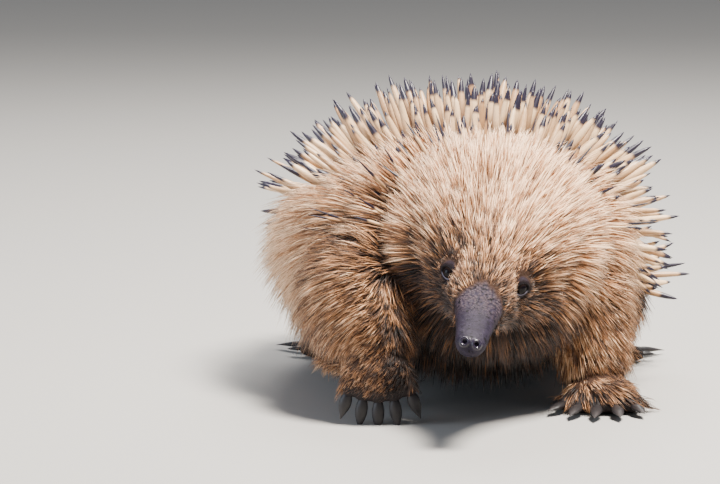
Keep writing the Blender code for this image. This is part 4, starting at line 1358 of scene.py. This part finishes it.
    def mark(self, places: Array, normals: Array) -> Array:
        """The coat's markings with painted light and shade, from 0, dark, to 1, pale."""
        own = BODY.head.own(places)
        x, y, z = places.T
        # Painted light: the trunk's fur is paler the higher it lies, for the light from above.
        trunk = np.interp(z, (0.020, 0.055, 0.085, 0.130), (0.36, 0.55, 0.79, 0.88))
        from_beak = np.linalg.norm(own - np.array((0, BODY.head.beak_root, 0)), axis=1)
        # Paler from the golden face to the cream crown: partly the coat's own markings, partly painted sunlight on
        # the crown.
        brow = np.interp(from_beak, (0.010, 0.030, 0.055, 0.085, 0.120), (0.42, 0.55, 0.76, 0.88, 0.86))
        # Painted shade: darker under the head and low on its sides.
        under = smooth(own[:, 2] + own[:, 1] * 0.10, 0.004, -0.020)
        cheek = smooth(np.abs(own[:, 0]), 0.012, 0.034) * smooth(own[:, 2], 0.020, 0.000)
        head = brow - 0.44 * under - 0.10 * cheek
        neck = BODY.neck_share(places)
        mark = head * neck + trunk * (1 - neck)
        for name, (share, down) in self.limb_shares(places).items():
            if name != "tail":
                sunny = 0.05 if name == "foreleg_left" else 0.0
                mark = mark * (1 - share) + (np.interp(down, (0.2, 0.6, 1.0), (0.47, 0.45, 0.38)) + sunny) * share
        # Painted shade: darker on the belly, on the chest below the head and on the right shoulder.
        belly = smooth(-normals[:, 2], 0.2, 0.8) * (1 - neck)
        chest_shade = smooth(z, 0.085, 0.055) * smooth(np.abs(x), 0.058, 0.035) * smooth(from_beak, 0.040, 0.060)
        shoulder_shade = np.exp(-(((x + 0.050) / 0.020) ** 2 + ((y + 0.048) / 0.026) ** 2 + ((z - 0.118) / 0.022) ** 2))
        # The fur among the spines is darker, partly its own brown and partly painted shade between the spines.
        mark = mark - 0.22 * belly - 0.40 * chest_shade - 0.20 * shoulder_shade - 0.50 * self.bears_spines(places, normals)
        for eyeball in EYES:
            off = np.linalg.norm(places - np.array(eyeball.centre), axis=1)
            mark -= 0.36 * np.exp(-((off / 0.0105) ** 2))
        return mark

    def region(self, places: Array, normals: Array) -> Array:
        """The number of the region that each place belongs to."""
        order = list(Region)
        own = BODY.head.own(places)
        neck = BODY.neck_share(places) > 0.5
        left = places[:, 0] > BODY.middle.x + 0.008
        trunk = np.where(left, order.index(Region.FLANK_LEFT), order.index(Region.FLANK_RIGHT))
        trunk = np.where(normals[:, 2] < -0.55, order.index(Region.BELLY), trunk)
        trunk = np.where(self.bears_spines(places, normals), order.index(Region.BACK), trunk)
        ahead = np.where(left, order.index(Region.NECK_LEFT), order.index(Region.NECK_RIGHT))
        ahead = np.where(own[:, 1] < 0.040, order.index(Region.CROWN), ahead)
        ahead = np.where(own[:, 1] < 0.012, order.index(Region.FACE), ahead)
        found = np.where(neck, ahead, trunk)
        for name, (share, _) in self.limb_shares(places).items():
            found = np.where(share > 0.5, order.index(Region(name)), found)
        return found


@dataclass
class Fur:
    """The fur, in pieces by region."""

    skin: Skin
    coat: Coat
    seed: int = 7
    density: float = 0.78e6
    tuft: int = 8
    pull: float = 0.42
    most_triangles: int = 198_000
    long_build: Tapers = field(default_factory=lambda: Tapers(3, (0.0, 0.34, 0.72), (0.85, 1.0, 0.66), 0.55))
    short_build: Tapers = field(default_factory=lambda: Tapers(3, (0.0, 0.55), (0.95, 0.90), 0.55))

    def crowding(self, places: Array) -> Array:
        """How much closer than usual the hair stands at each place."""
        own = BODY.head.own(places)
        face = smooth(own[:, 1], 0.050, 0.005) * (np.linalg.norm(own, axis=1) < 0.09)
        ahead = smooth(places[:, 1], 0.02, -0.06)
        under = smooth(places[:, 2], 0.060, 0.035) * smooth(np.abs(places[:, 0]), 0.055, 0.035)
        back = smooth(places[:, 1], 0.0, 0.04) * smooth(places[:, 2], 0.095, 0.115)
        beneath = smooth(places[:, 2], 0.060, 0.040) * (1 - under)
        return 0.85 + 0.55 * ahead + 0.8 * face - 0.60 * under - 0.20 * beneath - 0.72 * back

    def roots(self) -> Roots:
        """Roots spread evenly over the furred skin."""
        mesh = self.skin.mesh
        mesh.calc_loop_triangles()
        corners = np.empty(len(mesh.loop_triangles) * 3, dtype=np.int32)
        mesh.loop_triangles.foreach_get("vertices", corners)
        corners = corners.reshape(-1, 3)
        places, normals = corners_of(mesh)
        a, b, c = (places[corners[:, i]] for i in range(3))
        middle = (a + b + c) / 3
        area = np.linalg.norm(np.cross(b - a, c - a), axis=1) / 2
        weight = area * self.crowding(middle) * self.coat.furred(middle)
        total = int(weight.sum() * self.density)
        draw = np.random.default_rng(self.seed)
        cumulative = np.cumsum(weight) / weight.sum()
        at = (np.arange(total) + draw.random(total)) / total
        chosen = np.minimum(np.searchsorted(cumulative, at), len(corners) - 1)
        first, second = draw.random(total), draw.random(total)
        over = first + second > 1
        first, second = np.where(over, 1 - first, first), np.where(over, 1 - second, second)
        shares = np.stack((1 - first - second, first, second), axis=1)[..., None]
        where = np.sum(places[corners[chosen]] * shares, axis=1)
        facing = unit(np.sum(normals[corners[chosen]] * shares, axis=1))
        return Roots(where, facing, self.coat.lie(where, facing))

    def tufts(self, places: Array) -> Array:
        """The number of the hair that leads each hair's tuft."""
        leaders = np.arange(0, len(places), self.tuft)
        tree = KDTree(len(leaders))
        for number in leaders:
            tree.insert(places[number], int(number))
        tree.balance()
        return np.array([tree.find(place)[1] for place in places])

    def piece(self, region: Region, roots: Roots, material: bpy.types.Material) -> bpy.types.Object:
        """The fur of one region.

        Args:
            region: the region.
            roots: its roots.
            material: the fur's finish.

        Returns:
            The piece, riding on the body.
        """
        build = self.long_build if region in LONG_HAIRED else self.short_build
        most = self.most_triangles // build.triangles
        if len(roots.places) > most:
            roots = roots.taken(np.linspace(0, len(roots.places) - 1, most).astype(int))
        places, normals, lies = roots.places, roots.normals, roots.lies
        count = len(places)
        draw = np.random.default_rng(self.seed + 100 + list(Region).index(region))
        length = self.coat.length(places, normals) * draw.uniform(0.72, 1.18, count)
        side = np.cross(normals, lies)
        swing = draw.normal(0.0, 0.12, count)[:, None]
        lies = unit(lies + side * swing)
        lift = np.interp(length, (0.004, 0.012, 0.020, 0.030, 0.040), (11, 12, 15, 25, 41))
        lift += 30 * smooth(-normals[:, 2], 0.3, 0.9)
        lift = np.radians(lift + draw.normal(0.0, 4.5, count))
        rise, run = np.sin(lift)[:, None], np.cos(lift)[:, None]
        start = places - normals * 0.0008
        reach = length[:, None]
        middle = start + reach * 0.50 * (lies * run * 0.92 + normals * rise * 1.50)
        tip = start + reach * (lies * run + normals * rise)
        tip[:, 2] -= length * np.interp(length, (0.010, 0.030), (0.0, 0.14))
        leaders = self.tufts(places)
        tip += (tip[leaders] - tip) * self.pull
        tip += draw.normal(0.0, 0.0006, (count, 3))
        floor = 0.0006
        middle[:, 2] = np.maximum(middle[:, 2], floor * 2)
        tip[:, 2] = np.maximum(tip[:, 2], floor)
        radius = np.interp(length, (0.004, 0.012, 0.030), (0.00020, 0.00028, 0.00038)) * draw.uniform(0.7, 1.3, count)
        roll = draw.normal(0.0, 0.5, count)[:, None]
        across = unit(side * np.cos(roll) + normals * np.sin(roll))
        # Each hair's random share, and the coat's markings with painted light and shade.
        values = {
            "strand": draw.random(count) * 0.35 + draw.random(count)[leaders] * 0.65,
            "mark": self.coat.mark(places, normals),
        }
        name = "fur_" + region.value
        made = build.build(name, (start, middle, tip), radius, across, unwrapped(places), values, material)
        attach(made, "root")
        return made

    def build(self, material: bpy.types.Material) -> None:
        """Every region's fur."""
        roots = self.roots()
        regions = self.coat.region(roots.places, roots.normals)
        for number, region in enumerate(Region):
            own = roots.taken(regions == number)
            if len(own.places) < 10:
                continue
            made = self.piece(region, own, material)
            LOG.info("%s: %d roots, %d faces", made.name, len(own.places), len(made.data.polygons))


@dataclass
class Spines:
    """The spines of back, flanks and tail, which stand out more and more squarely down the flanks."""

    skin: Skin
    coat: Coat
    name: str = "spines"
    seed: int = 21
    spacing: float = 0.0084
    length: float = 0.033
    flank_length: float = 0.043
    radius: float = 0.0025
    lean: float = 0.42
    flank_lean: float = 0.24
    tips: tuple[float, float] = (0.0, 1.9)
    build_of: Tapers = field(
        default_factory=lambda: Tapers(8, (0.0, 0.20, 0.42, 0.62, 0.80, 0.92), (0.58, 0.84, 1.0, 0.95, 0.72, 0.42), 0.90)
    )

    def able(self, places: Array, normals: Array) -> Array:
        """Whether each place may bear one."""
        tail = self.coat.limb_shares(places)["tail"][0] > 0.3
        bears = self.coat.bears_spines(places, normals) | (tail & (normals[:, 2] > -0.5))
        return bears & (BODY.neck_share(places) < 0.6)

    def roots(self) -> Roots:
        """Roots no closer than the spacing."""
        places, normals = corners_of(self.skin.mesh)
        order = list(np.flatnonzero(self.able(places, normals)))
        random.Random(self.seed).shuffle(order)
        grid: dict[tuple[int, int, int], list[Vector]] = {}
        kept = []
        for number in order:
            place = Vector(places[number])
            key = tuple(int(math.floor(c / self.spacing)) for c in place)
            near = [
                other
                for i in (-1, 0, 1) for j in (-1, 0, 1) for k in (-1, 0, 1)
                for other in grid.get((key[0] + i, key[1] + j, key[2] + k), ())
            ]
            if all((place - other).length > self.spacing for other in near):
                grid.setdefault(key, []).append(place)
                kept.append(number)
        return Roots(places[kept], normals[kept], self.coat.lie(places[kept], normals[kept]))

    def build(self, material: bpy.types.Material) -> bpy.types.Object:
        """The spines as one piece.

        Args:
            material: the spines' finish.

        Returns:
            The piece, riding on the body.
        """
        roots = self.roots()
        count = len(roots.places)
        draw = np.random.default_rng(self.seed)
        aside = np.abs(roots.normals[:, 0]) ** 2
        length = (self.length * (1 - aside) + self.flank_length * aside) * draw.uniform(0.74, 1.12, count)
        length *= 0.76 + 0.24 * smooth(roots.places[:, 1], self.coat.spine_front, self.coat.spine_front + 0.04)
        length *= 1 + 0.12 * smooth(roots.places[:, 0], 0.0, -0.05)
        length *= 1 - 0.20 * smooth(roots.places[:, 0], 0.07, 0.115)
        length *= 1 - 0.35 * smooth(roots.places[:, 1], 0.10, 0.17)
        lean = (self.lean * (1 - aside) + self.flank_lean * aside)[:, None]
        way = unit(roots.normals + roots.lies * lean + draw.normal(0.0, 0.09, (count, 3)))
        start = roots.places - roots.normals * 0.003
        tip = roots.places + way * length[:, None]
        middle = (start + tip) / 2 + draw.normal(0.0, 0.0010, (count, 3)) + roots.normals * 0.0008
        radius = self.radius * draw.uniform(0.70, 1.10, count)
        values = {"strand": draw.random(count), "tip": draw.uniform(*self.tips, count) ** 1.6}
        across = unit(np.cross(way, roots.normals + 0.1))
        line = (start, middle, tip)
        made = self.build_of.build(self.name, line, radius, across, unwrapped(roots.places), values, material)
        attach(made, "root")
        LOG.info("%s: %d", self.name, count)
        return made


@dataclass
class Bristles(Spines):
    """Thin dark-tipped spines, scattered through the long fur of the nape in front of the others."""

    name: str = "bristles"
    seed: int = 31
    spacing: float = 0.0078
    length: float = 0.050
    flank_length: float = 0.055
    radius: float = 0.0012
    lean: float = 0.62
    flank_lean: float = 0.48
    tips: tuple[float, float] = (1.0, 2.3)
    build_of: Tapers = field(default_factory=lambda: Tapers(5, (0.0, 0.30, 0.62, 0.88), (0.9, 1.0, 0.86, 0.42), 1.0))

    def able(self, places: Array, normals: Array) -> Array:
        """Whether each place may bear one: on the upper neck and shoulders, where no stout spines stand."""
        neck = BODY.neck_share(places)
        edge = (neck > 0.12) & (neck < 0.90) & (places[:, 2] > 0.100)
        return edge & ~self.coat.bears_spines(places, normals)


# Studio


@dataclass
class Studio:
    """A plain pale floor, soft lights and the camera."""

    floor_size: float = 12.0
    azimuth: float = 0.0
    elevation: float = 8.0
    distance: float = 2.2
    lens: float = 188.0
    aim: Vector = Vector((-0.0635, -0.0452, 0.0945))

    def light(self, name: str, at: Vector, size: float, power: float, colour: Colour) -> None:
        """A soft square light that looks at the animal."""
        data = bpy.data.lights.new(name, "AREA")
        data.energy = power
        data.size = size
        data.color = colour
        made = bpy.data.objects.new(name, data)
        made.location = at
        made.rotation_euler = (Vector((0, 0, 0.09)) - at).to_track_quat("-Z", "Y").to_euler()
        bpy.context.scene.collection.objects.link(made)

    def build(self) -> None:
        """Floor, lights, world and camera."""
        shading = Shading("studio_floor", Base_Color=(0.36, 0.347, 0.330), Roughness=0.75)
        form = bmesh.new()
        bmesh.ops.create_grid(form, x_segments=1, y_segments=1, size=self.floor_size / 2)
        mesh = bpy.data.meshes.new("floor")
        form.to_mesh(mesh)
        form.free()
        mesh.materials.append(shading.material)
        floor = bpy.data.objects.new("floor", mesh)
        bpy.context.scene.collection.objects.link(floor)
        self.light("key", Vector((0.44, -0.36, 1.62)), 0.45, 154.0, (1.0, 0.94, 0.86))
        self.light("fill", Vector((-1.7, -0.7, 0.6)), 1.2, 26.0, (0.74, 0.85, 1.0))
        self.light("back", Vector((0.1, 1.2, 1.3)), 0.9, 34.0, (1.0, 0.97, 0.93))
        world = bpy.data.worlds.new("studio")
        world.use_nodes = True
        background = world.node_tree.nodes["Background"]
        background.inputs["Color"].default_value = (0.80, 0.86, 0.95, 1.0)
        background.inputs["Strength"].default_value = 0.36
        bpy.context.scene.world = world
        data = bpy.data.cameras.new("camera")
        data.lens = self.lens
        data.sensor_width = 36.0
        data.clip_end = 50.0
        camera = bpy.data.objects.new("camera", data)
        turn, rise = math.radians(self.azimuth), math.radians(self.elevation)
        away = Vector((math.sin(turn) * math.cos(rise), -math.cos(turn) * math.cos(rise), math.sin(rise)))
        camera.location = self.aim - ORIGIN + away * self.distance
        camera.rotation_euler = (-away).to_track_quat("-Z", "Y").to_euler()
        bpy.context.scene.collection.objects.link(camera)
        bpy.context.scene.camera = camera


def main() -> None:
    """Build the animal piece by piece, then the studio round it."""
    logging.basicConfig(level=logging.INFO, format="%(message)s")
    LOG.info("origin in the walking frame %s", tuple(round(c, 5) for c in ORIGIN))
    coat, fur = Coat(), FurFinish()
    eyes = EYES
    skin = Skin()
    made = skin.build(eyes, coat, HideFinish().build(fur))
    LOG.info("skin: %d faces", len(made.data.polygons))
    glass = EyeFinish().build()
    for eye in eyes:
        LOG.info(eye.build(glass).name)
    horn = HornFinish().build()
    for name, foot in BODY.feet.items():
        LOG.info(Claws(name, foot).build(horn).name)
    Fur(skin, coat).build(fur.build())
    horny = SpineFinish().build()
    Spines(skin, coat).build(horny)
    Bristles(skin, coat).build(horny)
    Studio().build()


if __name__ == "__main__":
    main()
